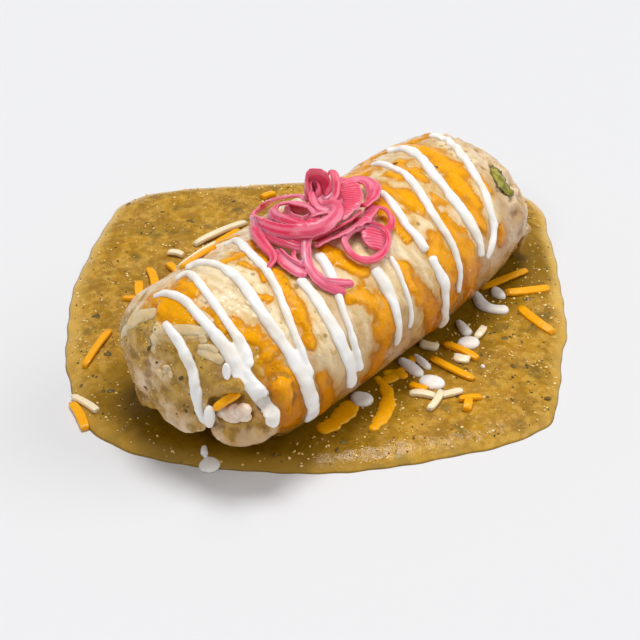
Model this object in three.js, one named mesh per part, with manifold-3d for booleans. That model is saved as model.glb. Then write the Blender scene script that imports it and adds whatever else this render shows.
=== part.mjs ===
// A wet burrito: a plump rolled flour tortilla lying in a puddle of salsa verde, striped with
// crema, with melted cheese, shreds of cheese round it and a heap of pickled red onion on top.
// Millimetres, +Z up. The roll lies along X with its loosely tucked end towards -X.
import * as THREE from 'three';
import { mergeVertices } from 'three/addons/utils/BufferGeometryUtils.js';
import Module from 'manifold-3d';

const wasm = await Module();
wasm.setup();

// ---------------------------------------------------------------- driving dimensions
// Lists of three give the tucked end, the middle and the far end.
const ROLL_AT = [-14.3, -17.6, 0];
const LENGTH = 224;
const HALF_WIDTH = [43.5, 45, 39.5];
const HEIGHT = [65, 67, 55.5];
const END_ROUND = [36, 30];
const END_SQUARENESS = 2.6;
const BOW = -6.5;
const SAG = 4;
const PLEATS = { count: 5, depth: 0.035, reach: 0.2 };
const CLEARANCE = 0.3;

const POOL_MIDDLE = [6, 8];
const POOL_DEPTH = 4.5;
const POOL_FILM = 0.8;

const CREMA_HEIGHT = 1.9;
const SHRED = { width: 4, thickness: 2 };
const ONION_THICKNESS = 2.4;

// The tucked end: how far the roll stops short behind its flap, and more under it and in the
// open pocket beside it.
const ROLL_BACK = 5.5;
const UNDERCUT = 11;
const POCKET = { y: -33, z: 36, depth: 6 };

// Millimetres of surface to one degree round the roll, used to space a route evenly.
const MM_PER_DEGREE = 0.7;

// ---------------------------------------------------------------- materials
const material = (color, roughness) => new THREE.MeshStandardMaterial({ color, roughness, metalness: 0 });
const tortillaFinish = material('#d8c098', 0.35);
const salsaFinish = material('#b3873a', 0.25);
const onionFinish = material('#d8487c', 0.3);
const chileFinish = material('#77791f', 0.35);

// ---------------------------------------------------------------- solids
function solid(geometry) {
  const bare = geometry.clone();
  bare.deleteAttribute('normal');
  bare.deleteAttribute('uv');
  const merged = mergeVertices(bare, 1e-4);
  return new wasm.Manifold(new wasm.Mesh({
    numProp: 3,
    vertProperties: new Float32Array(merged.attributes.position.array),
    triVerts: new Uint32Array(merged.index.array),
  }));
}

function joined(solids) {
  return solids.reduce((whole, next) => whole.add(next));
}

// The largest body of a cut solid, without the loose scraps that a cut can leave.
function largest(cut) {
  return cut.decompose().sort((a, b) => b.volume() - a.volume())[0];
}

function geometryOf(whole) {
  const mesh = whole.getMesh();
  const geometry = new THREE.BufferGeometry();
  geometry.setAttribute('position', new THREE.BufferAttribute(mesh.vertProperties, 3));
  geometry.setIndex(new THREE.BufferAttribute(mesh.triVerts, 1));
  geometry.computeVertexNormals();
  return geometry;
}

// Moves every vertex of a geometry by a function of its place.
function shaped(geometry, move) {
  const position = geometry.attributes.position;
  const place = new THREE.Vector3();
  for (let i = 0; i < position.count; i += 1) {
    place.fromBufferAttribute(position, i);
    const moved = move(place);
    position.setXYZ(i, moved.x, moved.y, moved.z);
  }
  return geometry;
}

function blob(centre, radii, turn = 0) {
  const geometry = new THREE.SphereGeometry(1, 14, 10);
  geometry.scale(...radii);
  geometry.rotateZ(THREE.MathUtils.degToRad(turn));
  geometry.translate(...centre);
  return solid(geometry);
}

// ---------------------------------------------------------------- form of the roll
// A curve through three values, at the ends and the middle.
function along([near, middle, far], u) {
  return near * (1 - u) * (1 - 2 * u) + middle * 4 * u * (1 - u) + far * u * (2 * u - 1);
}

function endRound(distance, length) {
  const inside = Math.min(Math.max(distance / length, 0), 1);
  return (1 - (1 - inside) ** END_SQUARENESS) ** (1 / END_SQUARENESS);
}

// A point of the roll: x along it, and degrees round it from its -Y side over its top.
// grow is the clearance that is added on every side where the roll is a cutter.
function rollPoint(x, degrees, grow = 0) {
  const angle = THREE.MathUtils.degToRad(degrees);
  const u = x / LENGTH + 0.5;
  const cap = endRound(u * LENGTH, END_ROUND[0]) * endRound((1 - u) * LENGTH, END_ROUND[1]);
  const farness = THREE.MathUtils.smoothstep(u, 1 - PLEATS.reach, 1);
  const pleat = 1 + PLEATS.depth * farness * Math.cos(PLEATS.count * angle);
  const halfWidth = along(HALF_WIDTH, u) + grow;
  const halfHeight = (along(HEIGHT, u) + SAG) / 2;
  const y = BOW * 4 * u * (1 - u) - Math.cos(angle) * halfWidth * cap * pleat;
  const z = halfHeight - SAG + Math.sin(angle) * (halfHeight + grow) * cap * pleat;
  return new THREE.Vector3(x * (1 + (2 * grow) / LENGTH), y, Math.max(z, -grow) + POOL_FILM);
}

function onRoll(x, degrees) {
  const point = rollPoint(x, degrees);
  const lengthways = rollPoint(x + 0.5, degrees).sub(rollPoint(x - 0.5, degrees));
  const round = rollPoint(x, degrees + 1).sub(rollPoint(x, degrees - 1));
  return { point, up: lengthways.cross(round).normalize() };
}

function onPool(x, y) {
  return { point: new THREE.Vector3(x, y, POOL_DEPTH), up: new THREE.Vector3(0, 0, 1) };
}

// ---------------------------------------------------------------- things laid on a surface
// A route is a list of [a, b, value] on a surface. The value is interpolated with it.
function follow(surface, route, closed = false) {
  const unit = surface === onRoll ? MM_PER_DEGREE : 1;
  const flat = route.map(([a, b, value = 1]) => new THREE.Vector3(a, b * unit, value * 0.1));
  const path = new THREE.CatmullRomCurve3(flat, closed);
  const at = (s) => {
    const p = path.getPointAt(closed ? (s + 1) % 1 : THREE.MathUtils.clamp(s, 0, 1));
    return { ...surface(p.x, p.y / unit), value: p.z * 10 };
  };
  const frameAt = (s) => {
    const here = at(s);
    const forward = at(s + 0.01).point.sub(at(s - 0.01).point).normalize();
    return { ...here, side: forward.clone().cross(here.up).normalize() };
  };
  return { length: path.getLength(), frameAt };
}

// A bead with round ends, such as a stripe of crema. The route's values are its widths.
function bead(surface, route, height, options = {}) {
  const { sink = 1, spacing = 5, sides = 6, spare = 0 } = options;
  const path = follow(surface, route);
  const radius = 2;
  const steps = Math.max(2, Math.round(path.length / spacing));
  const geometry = new THREE.CapsuleGeometry(radius, path.length - 2 * radius, 2, sides, steps);
  return solid(shaped(geometry, ({ x, y, z }) => {
    const { point, up, side, value } = path.frameAt(y / path.length + 0.5);
    const across = (x / radius) * (value / 2 + spare);
    const off = z > 0 ? (z / radius) * (height + spare) : (z / radius) * sink;
    return point.addScaledVector(side, across).addScaledVector(up, off);
  }));
}

// A strip of constant section that stands off the surface. The route's values are its lifts.
function strip(surface, route, { width, thickness, spacing = 8, closed = false }) {
  const path = follow(surface, route, closed);
  const steps = Math.max(3, Math.round(path.length / spacing));
  const radius = width / 2;
  const place = (s, across, off) => {
    const { point, up, side, value } = path.frameAt(s);
    return point.addScaledVector(side, across).addScaledVector(up, value + off);
  };
  if (closed) {
    const major = path.length / (2 * Math.PI);
    const torus = new THREE.TorusGeometry(major, radius, 6, steps);
    return solid(shaped(torus, ({ x, y, z }) => (
      place(Math.atan2(y, x) / (2 * Math.PI), Math.hypot(x, y) - major, (z / width) * thickness)
    )));
  }
  const capsule = new THREE.CapsuleGeometry(radius, path.length - width, 1, 6, steps);
  return solid(shaped(capsule, ({ x, y, z }) => (
    place(y / path.length + 0.5, x, (z / width) * thickness)
  )));
}

// ---------------------------------------------------------------- tortilla roll
// The roll's own end lies behind its flap, and is set back further under it.
function setBack(point) {
  const near = THREE.MathUtils.smoothstep(-point.x, 72, 104);
  const low = 1 - THREE.MathUtils.smoothstep(point.z, 5, 21);
  const off = Math.hypot(point.y - POCKET.y, point.z - POCKET.z);
  const pocket = Math.exp(-(off * off) / 90);
  point.x += near * (ROLL_BACK + UNDERCUT * low + POCKET.depth * pocket);
  return point;
}

function roll(grow, move = (point) => point) {
  const ball = new THREE.SphereGeometry(1, 36, 26);
  return solid(shaped(ball, ({ x, y, z }) => (
    move(rollPoint((y * LENGTH) / 2, THREE.MathUtils.radToDeg(Math.atan2(x, -z)), grow))
  )));
}

// Outline of the flap, as [y, z] across the end.
const FLAP = [
  [11, 56], [9.5, 42], [8, 34], [3, 23], [-6, 17.5], [-16, 19.5], [-24, 25.5], [-24.2, 37],
  [-29.5, 44], [-37, 42.5], [-46, 39], [-64, 40], [-64, 99], [34, 99], [18, 66],
];
const FLAP_REACH = [-116, -92];

function flap(grow) {
  const length = FLAP_REACH[1] - FLAP_REACH[0];
  const prism = wasm.Manifold.extrude([[...FLAP].reverse()], length)
    .rotate([90, 0, 90])
    .translate([FLAP_REACH[0], 0, 0]);
  return roll(grow).intersect(prism);
}

// A soft fold along places [x, y, z, radius].
function fold(path, grow) {
  const balls = path.map(([x, y, z, radius]) => {
    const ball = new THREE.SphereGeometry(radius + grow, 10, 7);
    ball.translate(x, y, z);
    return solid(ball);
  });
  return joined(balls.slice(1).map((ball, i) => wasm.Manifold.hull([balls[i], ball])));
}

const FOLDS = [
  // the lower fold beside the flap
  [[-100, -20, 22, 4.5], [-100.5, -27, 22.5, 7], [-99.5, -34, 23.5, 8], [-96, -40, 26.5, 8],
    [-92, -43.5, 32, 7], [-89, -44, 40, 6]],
  // the layer tucked in under the flap, and the fold behind it
  [[-104, 7, 20, 3.5], [-105, 13, 17.5, 5], [-104, 20, 16, 5], [-101, 26, 17, 4.5]],
  [[-97, 26, 44, 5], [-94, 31.5, 33, 6], [-91, 33.5, 23, 6.5], [-88, 33, 15, 6]],
  // the layer in the pocket
  [[-98.5, -24.5, 30, 3.5], [-100, -28, 31, 4.5], [-98.5, -34, 34.5, 5.5]],
  // loose folds of the far end
  [[97, -36, 33, 4], [100, -38, 29, 4.5], [101, -37.5, 24, 4]],
];

function tortilla(grow) {
  const folds = FOLDS.map((path) => fold(path, grow));
  return joined([roll(grow, setBack), flap(grow), ...folds]);
}

// Stripes of crema, each from its start on top or behind to its foot: [x, degrees, width].
const CREMA_ON_ROLL = [
  [[-102, 100, 4], [-107, 66, 5], [-109, 45, 5], [-110, 20, 4.5], [-109, -12, 3]],
  [[-92, 122, 2], [-89, 110, 3.5], [-94, 82, 4.5], [-97, 53, 7], [-97, 32, 9], [-95, 5, 7]],
  [[-82, 116, 3], [-77, 113, 4], [-83, 93, 4], [-89, 71, 4], [-94, 46, 6]],
  [[-71, 121, 5], [-67, 107, 4], [-73, 73, 5], [-78, 42, 6], [-76, 11, 7], [-69, -30, 8]],
  [[-48, 124, 3], [-45, 118, 4], [-58, 80, 4], [-70, 48, 4], [-74, 15, 5]],
  [[-51, 68, 5], [-54, 38, 6], [-54, 15, 6], [-51, -14, 4]],
  [[-34, 74, 4.5], [-40, 57, 4.5], [-47, 28, 4], [-47, -3, 4]],
  [[-19, 50, 6], [-19, 33, 5.5], [-22, 8, 4.5], [-23, -5, 3]],
  [[-7, 50, 2.5], [-11, 27, 2.5], [-14, 1, 2]],
  [[21, 87, 3.5], [14, 67, 4], [12, 48, 4.5], [12, 15, 4.5], [13, -8, 4], [19, -29, 8]],
  [[47, 119, 3], [43, 93, 4.5], [33, 65, 4.5], [27, 40, 4], [25, 8, 3]],
  [[54, 118, 3], [60, 102, 5], [54, 80, 5], [45, 48, 5], [41, 10, 4.5]],
  [[80, 107, 4.5], [80, 92, 5], [68, 67, 5], [60, 40, 4.5], [50, 2, 3.5]],
];

// Separate drops of crema: the one that hangs in the pocket, and a small one above it.
const CREMA_DROPS = [
  [[-108.5, 13, 4], [-108.5, -1, 5.5]],
  [[-97, 47, 2.5], [-97, 36, 3.5]],
];

// Pieces of cheddar that have kept their edges: [x, degrees, width].
const CHEDDAR_ON_ROLL = [
  [[-92, 128, 8], [-95, 108, 12], [-96, 88, 9]],
  [[-104, 14, 4.5], [-96, 27, 4.5]],
  [[-51, 128, 5], [-68, 127, 5]],
];

// Shreds of white cheese that have kept their edges.
const JACK_ON_ROLL = [
  [[-101, 87, 4], [-89, 68, 4]],
  [[-98, 61, 4], [-92, 44, 5]],
  [[-44, 140, 5], [-62, 141, 5]],
];

function cremaOnRoll(spare) {
  return [...CREMA_ON_ROLL, ...CREMA_DROPS].map((route) => (
    bead(onRoll, route, CREMA_HEIGHT, { spare, spacing: 10 })
  ));
}

function cheeseOnRoll(spare) {
  return [...CHEDDAR_ON_ROLL, ...JACK_ON_ROLL].map((route) => (
    bead(onRoll, route, 1.2, { spare, spacing: 12 })
  ));
}

function burrito(grow = 0) {
  return joined([tortilla(grow), ...cremaOnRoll(grow), ...cheeseOnRoll(grow)]);
}

// ---------------------------------------------------------------- salsa verde
// The puddle's outline, as [x, y] from the roll's middle.
const POOL_OUTLINE = [
  [9, -111.5], [27, -103], [45, -92.5], [64, -83], [86, -67], [107, -50], [128, -32], [145, -15.5],
  [150, 6], [146, 28], [134, 50], [113, 73], [90, 92], [72, 110], [54, 127], [40, 139.5], [27, 146],
  [13, 146], [-5, 138], [-19, 131.5], [-31, 125], [-44, 117], [-58, 107.5], [-74, 93], [-89, 79],
  [-102, 63.5], [-112, 49], [-118, 37], [-119.5, 23], [-117, 7], [-110.5, -9], [-101, -27],
  [-89, -44], [-77, -60], [-62, -74], [-45, -87], [-28, -99], [-13, -107], [-2, -111],
];

// Its edge, as distances in from the outline and heights, from the floor up.
const POOL_EDGE = [[1, 0], [0, 1], [0.7, 2.3], [2.6, 3.6], [6, 4.3], [11, POOL_DEPTH]];

function pool() {
  const rim = new THREE.CatmullRomCurve3(POOL_OUTLINE.map(([x, y]) => new THREE.Vector3(x, y, 0)), true);
  const middle = new THREE.Vector3(...POOL_MIDDLE, 0);
  const size = 100;
  const profile = POOL_EDGE.map(([inwards, height]) => new THREE.Vector2(size - inwards, height));
  profile.unshift(new THREE.Vector2(0, 0));
  profile.push(new THREE.Vector2(0, POOL_DEPTH));
  const disc = new THREE.LatheGeometry(profile, 72);
  disc.rotateX(Math.PI / 2);
  return solid(shaped(disc, ({ x, y, z }) => {
    const out = Math.hypot(x, y);
    if (out < 1e-6) return new THREE.Vector3(middle.x, middle.y, z);
    const turn = Math.atan2(y, x) / (2 * Math.PI);
    const reach = rim.getPointAt((turn + 1) % 1).sub(middle);
    const point = reach.clone().setLength(reach.length() - (size - out)).add(middle);
    point.z = z;
    return point;
  }));
}

// Crema on the salsa, measured from the roll's middle: [x, y, width].
const CREMA_ON_POOL = [
  [[61, -34, 3], [55, -42, 4], [54, -49, 5], [58, -56, 5]],
  [[68, -41, 4], [64, -49, 3]],
  [[37, -42, 3], [34, -47, 4.5], [31, -53, 5]],
  [[28, -52, 6], [24, -58, 7]],
  [[-3, -39, 3], [-4, -46, 4.5], [-6, -54, 5]],
  [[-8, -55, 6], [-6, -65, 7]],
  [[4, -43, 2], [0, -54, 2.5]],
  [[-35, -38, 6], [-35, -48, 7]],
  [[-105, -16, 8], [-101, -21, 8]],
  [[-103, -15.5, 3.6], [-99, -12, 2.6]],
];

const CHEDDAR_ON_POOL = [
  [[-19, -42, 4], [-23, -48, 5], [-29, -53, 6], [-39, -55, 6], [-48, -57, 4]],
  [[-59, -43, 6], [-51, -45, 8], [-41, -43, 8]],
];

// Straight shreds on the salsa: [x, y] of both ends.
const CHEDDAR_SHREDS = [
  [[63, -37], [89, -45]], [[67, -48], [85, -60]], [[62, -58], [56, -80]],
  [[19, -48], [19, -66]], [[6, -50], [5, -73]], [[-15, -54], [-14, -62]],
  [[-10, -76], [-2, -82]], [[-92, 64], [-67, 73]], [[-110, 53], [-119, 36]],
  [[-20, 92], [-33, 76]], [[-12, 89], [-15, 79]], [[-45, 86], [-38, 76]],
  [[6, 82], [31, 82]], [[60, 92], [67, 90]],
];
const JACK_SHREDS = [
  [[31, -57], [40, -55]], [[11, -40], [14, -48]], [[13, -57], [15, -64]],
  [[-19, -57], [-14, -67]], [[-14, -68], [-4, -74]], [[-23, -71], [-10, -68]],
  [[-107, 56], [-110, 38]], [[8, 90], [38, 84]],
];

function shred([[ax, ay], [bx, by]], index) {
  const length = Math.hypot(bx - ax, by - ay);
  const box = new THREE.BoxGeometry(length, SHRED.width, SHRED.thickness, 2, 1, 1);
  const curl = ((index * 37) % 5 - 2) * 0.5;
  shaped(box, ({ x, y, z }) => new THREE.Vector3(x, y + curl * ((2 * x) / length) ** 2, z));
  box.rotateX(THREE.MathUtils.degToRad((index * 53) % 24 - 12));
  box.rotateZ(Math.atan2(by - ay, bx - ax));
  box.translate((ax + bx) / 2, (ay + by) / 2, POOL_DEPTH + SHRED.thickness * 0.3);
  return solid(box);
}

function salsa(cutter) {
  const crema = CREMA_ON_POOL.map((route) => bead(onPool, route, 2.2));
  const cheddar = CHEDDAR_ON_POOL.map((route) => bead(onPool, route, 1.6));
  const shreds = [...CHEDDAR_SHREDS, ...JACK_SHREDS].map(shred);
  return largest(joined([pool(), ...crema, ...cheddar, ...shreds]).subtract(cutter));
}

// ---------------------------------------------------------------- pickled red onion
// Lines of sight, from the roll's middle, with angles in degrees.
const SIGHT = { from: [-522.9, -412.9, 486.7], heading: 38.774, pitch: 35.775, turn: 0.129 };
const SIGHT_SCALE = (103.55 / 36) * 640;
const SIGHT_MIDDLE = 320;

// The x and degrees of a point near the roll.
function rollCoordinates({ x, y, z }) {
  const u = x / LENGTH + 0.5;
  const halfHeight = (along(HEIGHT, u) + SAG) / 2;
  const over = (y - BOW * 4 * u * (1 - u)) / along(HALF_WIDTH, u);
  const above = (z - POOL_FILM - halfHeight + SAG) / halfHeight;
  return [x, THREE.MathUtils.radToDeg(Math.atan2(above, -over))];
}

// Where the sight through [across, down] comes down to a lift off the roll: [x, degrees].
function seenOnRoll(across, down, lift) {
  const [heading, pitch, turn] = [SIGHT.heading, SIGHT.pitch, SIGHT.turn].map(THREE.MathUtils.degToRad);
  const forward = new THREE.Vector3(
    Math.cos(heading) * Math.cos(pitch),
    Math.sin(heading) * Math.cos(pitch),
    -Math.sin(pitch),
  );
  const right = new THREE.Vector3(Math.sin(heading), -Math.cos(heading), 0).applyAxisAngle(forward, -turn);
  const up = new THREE.Vector3().crossVectors(right, forward);
  const ray = forward.clone()
    .addScaledVector(right, (across - SIGHT_MIDDLE) / SIGHT_SCALE)
    .addScaledVector(up, (SIGHT_MIDDLE - down) / SIGHT_SCALE);
  let nearest = { gap: Infinity };
  for (let distance = 660; distance < 960; distance += 0.5) {
    const point = new THREE.Vector3(...SIGHT.from).addScaledVector(ray, distance);
    const [x, degrees] = rollCoordinates(point);
    const base = onRoll(x, degrees);
    const gap = point.sub(base.point).dot(base.up) - lift;
    if (gap < nearest.gap) nearest = { gap, place: [x, degrees] };
    if (gap <= 0) break;
  }
  return nearest.place;
}

// Slices of onion, along each: across and down the line of sight, lift off the roll in
// millimetres, turn off flat in degrees, and width.
const ONION_RINGS = [
  [[271, 210, 7, 15, 4.6], [288, 202.5, 9, 5, 4.2], [311, 208, 9, 10, 4.2], [308, 226, 8, 20, 4.4],
    [284, 218.5, 7.5, 15, 4.8]],
  [[346, 240, 4.5, 20, 3.4], [355, 256, 3.5, 10, 3.6], [375, 260, 3.4, 5, 3.8], [389, 244, 4, 15, 3.4],
    [380, 228, 4.6, 20, 3.4], [353, 231, 4.8, 20, 3.4]],
  [[371, 213, 4.4, 25, 3.4], [385, 210, 4.4, 20, 2.8], [393, 223, 3.6, 5, 3], [378, 228, 3.6, 10, 3.2]],
];
const ONION_STRIPS = [
  [[249, 217, 4.5, -20, 3], [264, 225.5, 6, -35, 6], [290, 231.5, 8, -38, 6.4], [319, 229.5, 10, -35, 6.2],
    [338, 215, 11.5, -5, 5.6], [329, 205, 10.5, 45, 4.6]],
  [[249, 217, 4, 30, 3.4], [264, 204, 5.4, 25, 4.8], [287, 196, 7.2, 15, 4.2], [309, 201, 7.6, 30, 4]],
  [[312, 192, 11, 50, 5], [316, 205, 9.6, 15, 5], [332, 213, 9, -30, 4]],
  [[318, 192, 9, 30, 6], [333, 204, 9, -15, 7], [343, 207, 8.4, -30, 6]],
  [[308, 199, 9, 70, 6], [304, 184, 13, 88, 10.5], [311, 180, 13.5, 90, 11], [320, 181, 13.5, 92, 11],
    [326.5, 185.5, 13, 96, 11], [329, 193, 10.5, 100, 8]],
  [[324, 178, 13, 70, 3.2], [330, 172.5, 15, 10, 3.6], [335, 187, 12.5, -15, 4], [319, 205, 9.2, -10, 3.4]],
  [[332, 181, 10, 20, 5], [346, 184, 10, -5, 7.6], [351, 200, 8.8, -20, 9.8], [336, 221, 7, -30, 6]],
  [[347, 179, 6, 20, 5.5], [365, 180, 6, 0, 7], [373.5, 193, 6, -20, 6.4], [362, 207.5, 5.6, -40, 5]],
  [[374, 207, 4.6, -30, 6.5], [357, 225, 4.6, -40, 8], [336, 236.5, 4, -45, 7], [315, 247, 3, -40, 4.5]],
  [[360, 212, 5, -60, 6], [338, 229, 5, -62, 7.5], [312, 240, 4, -55, 6]],
  [[375, 206, 5, 0, 4], [368.5, 222, 4.2, -10, 5], [366, 229, 4, -10, 4]],
  [[251, 219, 4.6, -30, 4], [258, 237, 4.2, -20, 4.6], [272, 253.5, 3, -20, 4], [266, 270.5, 2.2, -30, 1.8]],
  [[254, 222, 4.6, -60, 3], [269, 237.5, 4.2, -50, 3], [303, 249.5, 3.6, -30, 2.6]],
  [[268, 230, 2.6, -30, 5], [290, 239, 2.6, -35, 5], [304, 242, 2.6, -35, 4]],
  [[274, 250, 2.6, -10, 5], [289, 264.5, 2.4, -14, 6], [308, 276, 2.2, -10, 5]],
  [[311, 232, 7, 10, 4.6], [306.5, 250, 4, 0, 4.6], [313, 272, 2.4, -10, 4.8], [330, 287.5, 2.2, -12, 4.8],
    [347, 292, 2.2, 0, 2.6]],
  [[322, 279, 2.2, -25, 3], [340, 284, 2.2, -15, 4], [355, 284, 2.2, -5, 2.8]],
  [[361, 241, 2.8, 20, 9], [376, 241, 3.4, 8, 13], [383, 238, 3.4, 0, 10.5]],
];
const ONION_CORE = { x: -14, degrees: 93, radii: [23, 18, 6], lift: 3 };
const ONION_SPACING = 6.5;

// A thin flat band that turns and changes in width along its route.
function slice(route, closed) {
  const places = route.map(([across, down, lift]) => {
    const [x, degrees] = seenOnRoll(across, down, lift);
    return new THREE.Vector3(x, degrees * MM_PER_DEGREE, lift);
  });
  const path = new THREE.CatmullRomCurve3(places, closed);
  const turns = route.map(([, , , turn, wide]) => new THREE.Vector3(turn, wide, 0));
  const values = new THREE.CatmullRomCurve3(turns, closed);
  const at = (share) => {
    const t = path.getUtoTmapping(closed ? (share + 1) % 1 : THREE.MathUtils.clamp(share, 0, 1));
    const p = path.getPoint(t);
    const v = values.getPoint(t);
    const { point, up } = onRoll(p.x, p.y / MM_PER_DEGREE);
    return { point: point.addScaledVector(up, p.z), up, turn: THREE.MathUtils.degToRad(v.x), wide: v.y };
  };
  const steps = Math.max(closed ? 8 : 3, Math.round(path.getLength() / ONION_SPACING));
  const section = (share) => {
    const here = at(share);
    const forward = at(share + 0.01).point.sub(at(share - 0.01).point).normalize();
    const side = forward.clone().cross(here.up).normalize().applyAxisAngle(forward, here.turn);
    const over = side.clone().cross(forward);
    const corner = (across, off) => here.point.clone()
      .addScaledVector(side, across * here.wide)
      .addScaledVector(over, off * ONION_THICKNESS)
      .toArray();
    return [corner(-0.5, -0.5), corner(0.5, -0.5), corner(0.5, 0.5), corner(-0.5, 0.5)];
  };
  const sections = Array.from({ length: steps + 1 }, (_, i) => section(i / steps));
  if (closed) sections[steps] = sections[0];
  return joined(sections.slice(1).map((last, i) => wasm.Manifold.hull([...sections[i], ...last])));
}

function onions(cutter) {
  const rings = ONION_RINGS.map((route) => slice(route, true));
  const strips = ONION_STRIPS.map((route) => slice(route, false));
  const middle = onRoll(ONION_CORE.x, ONION_CORE.degrees).point;
  const core = blob([middle.x, middle.y, middle.z + ONION_CORE.lift], ONION_CORE.radii);
  return largest(joined([core, ...rings, ...strips]).subtract(cutter));
}

// ---------------------------------------------------------------- leaf of green chile
const CHILE = { x: 87, degrees: 44, length: 17, width: 9, thickness: 0.7, lift: 1.7, wave: 0.5 };

function chile() {
  const leaf = new THREE.BoxGeometry(CHILE.width, CHILE.length, CHILE.thickness, 4, 8, 1);
  return solid(shaped(leaf, ({ x, y, z }) => {
    const taper = 1 - 0.75 * Math.abs((2 * y) / CHILE.length) ** 2.5;
    const spot = onRoll(CHILE.x + x * taper - 0.2 * y, CHILE.degrees + y / MM_PER_DEGREE);
    const wave = CHILE.wave * Math.sin(x) * Math.cos(y);
    return spot.point.addScaledVector(spot.up, CHILE.lift + wave + z);
  }));
}

// ---------------------------------------------------------------- assembly
// Slivers that the joins leave are merged, below this size.
const SMALLEST_EDGE = 0.04;

const object = new THREE.Group();
const cutter = burrito(CLEARANCE);

function place(name, whole, finish) {
  const mesh = new THREE.Mesh(geometryOf(whole.simplify(SMALLEST_EDGE)), finish);
  mesh.name = name;
  mesh.position.set(...ROLL_AT);
  object.add(mesh);
}

place('salsa_verde', salsa(cutter), salsaFinish);
place('burrito', largest(burrito()), tortillaFinish);
place('pickled_onions', onions(cutter), onionFinish);
place('chile_leaf', chile(), chileFinish);

export default object;
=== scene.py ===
"""Wet burrito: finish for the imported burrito, its salsa verde, cheese, crema and toppings."""
import math
from itertools import product

import bpy
import numpy as np
from mathutils import Matrix, Vector
from mathutils.bvhtree import BVHTree


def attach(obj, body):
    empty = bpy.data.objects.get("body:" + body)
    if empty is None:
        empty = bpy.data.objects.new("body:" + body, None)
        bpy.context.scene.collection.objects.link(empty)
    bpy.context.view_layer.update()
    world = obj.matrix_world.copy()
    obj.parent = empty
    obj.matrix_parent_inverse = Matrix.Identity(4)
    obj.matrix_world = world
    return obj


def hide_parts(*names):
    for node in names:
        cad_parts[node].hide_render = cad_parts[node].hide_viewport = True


bl_info = {
    "name": "Wet Burrito",
    "version": (1, 0, 0),
    "blender": (4, 5, 0),
    "location": "3D View > Sidebar > Burrito",
    "description": "Models a wet burrito with salsa verde, melted cheese, crema and pickled onion",
    "category": "Object",
}

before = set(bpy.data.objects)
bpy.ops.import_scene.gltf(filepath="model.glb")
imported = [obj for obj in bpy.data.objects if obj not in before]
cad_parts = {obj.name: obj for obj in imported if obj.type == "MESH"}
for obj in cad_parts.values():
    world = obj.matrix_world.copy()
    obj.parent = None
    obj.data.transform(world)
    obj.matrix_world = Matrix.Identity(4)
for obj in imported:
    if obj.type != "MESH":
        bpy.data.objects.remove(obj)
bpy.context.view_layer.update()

# Every size below is in millimetres and every mesh is made in metres.
MM = 0.001

# The roll, as in its solid. Lists of three give the tucked end, the middle and the far end.
ROLL_AT = np.array([-14.3, -17.6, 0.0])
LENGTH = 224.0
HALF_WIDTH = (43.5, 45.0, 39.5)
HEIGHT = (65.0, 67.0, 55.5)
END_ROUND = (36.0, 30.0)
END_SQUARENESS = 2.6
BOW = -6.5
SAG = 4.0
MM_PER_DEGREE = 0.7

# The puddle, as in its solid. Its outline is given from the roll's middle.
POOL_MIDDLE = (6.0, 8.0)
POOL_OUTLINE = (
    (9, -111.5), (27, -103), (45, -92.5), (64, -83), (86, -67), (107, -50), (128, -32), (145, -15.5),
    (150, 6), (146, 28), (134, 50), (113, 73), (90, 92), (72, 110), (54, 127), (40, 139.5), (27, 146),
    (13, 146), (-5, 138), (-19, 131.5), (-31, 125), (-44, 117), (-58, 107.5), (-74, 93), (-89, 79),
    (-102, 63.5), (-112, 49), (-118, 37), (-119.5, 23), (-117, 7), (-110.5, -9), (-101, -27),
    (-89, -44), (-77, -60), (-62, -74), (-45, -87), (-28, -99), (-13, -107), (-2, -111),
)
POOL_DEPTH = 4.5
POOL_FILM = 0.8
POOL_EDGE = 15
POOL_EDGE_ROUND = 2.4


# ------------------------ numbers
# Multipliers of the noise's hash, its largest value, and the points on each span of a curve.
HASH_STEPS = np.array((73856093, 19349663, 83492791))
HASH_SEED = 40503
HASH_MIX = 1274126177
HASH_TOP = 0xffff
SPAN_STEPS = 24
TINY = 1e-9


def smoothstep(low, high, value):
    t = np.clip((value - low) / (high - low), 0, 1)
    return t * t * (3 - 2 * t)


def value_noise(points, size, seed):
    """Smooth noise from -1 to 1 whose lumps are about size across."""
    q = points / size
    cell = np.floor(q).astype(np.int64)
    f = q - cell
    f = f * f * (3 - 2 * f)
    total = np.zeros(len(points))
    for corner in product((0, 1), repeat=3):
        h = np.bitwise_xor.reduce((cell + np.array(corner)) * HASH_STEPS, axis=1) ^ (seed * HASH_SEED)
        h = ((h ^ (h >> 13)) * HASH_MIX) & 0x7fffffff
        h = (h ^ (h >> 16)) & HASH_TOP
        weight = np.prod(np.where(np.array(corner) == 1, f, 1 - f), axis=1)
        total += weight * (h / (HASH_TOP / 2) - 1)
    return total


def layered_noise(points, size, seed, layers=3):
    """Noise with finer layers on top, each half the size and half the strength."""
    total = np.zeros(len(points))
    for layer in range(layers):
        total += value_noise(points, size / 2 ** layer, seed + layer * 17) / 2 ** layer
    return total


def noise_vectors(points, size, seed, layers=2):
    """A different noise along each axis."""
    return np.stack([layered_noise(points, size, seed + k, layers) for k in range(3)], -1)


def unit(vectors):
    """Vectors scaled to length 1."""
    return vectors / np.maximum(np.linalg.norm(vectors, axis=-1, keepdims=True), TINY)


def running_mean(rows, width):
    """Rows smoothed along themselves, each over width rows."""
    padded = np.pad(rows, ((width // 2, width // 2), (0, 0)), mode="edge")
    kernel = np.ones(width) / width
    return np.stack([np.convolve(column, kernel, mode="valid") for column in padded.T], -1)


def round_tips(reach):
    """How wide a round tip is, from 0 at its end to 1 at a reach of 1 and beyond."""
    cap = np.clip(reach, 0, 1)
    return np.sqrt(np.clip(1 - (1 - cap) ** 2, 0, 1))


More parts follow.
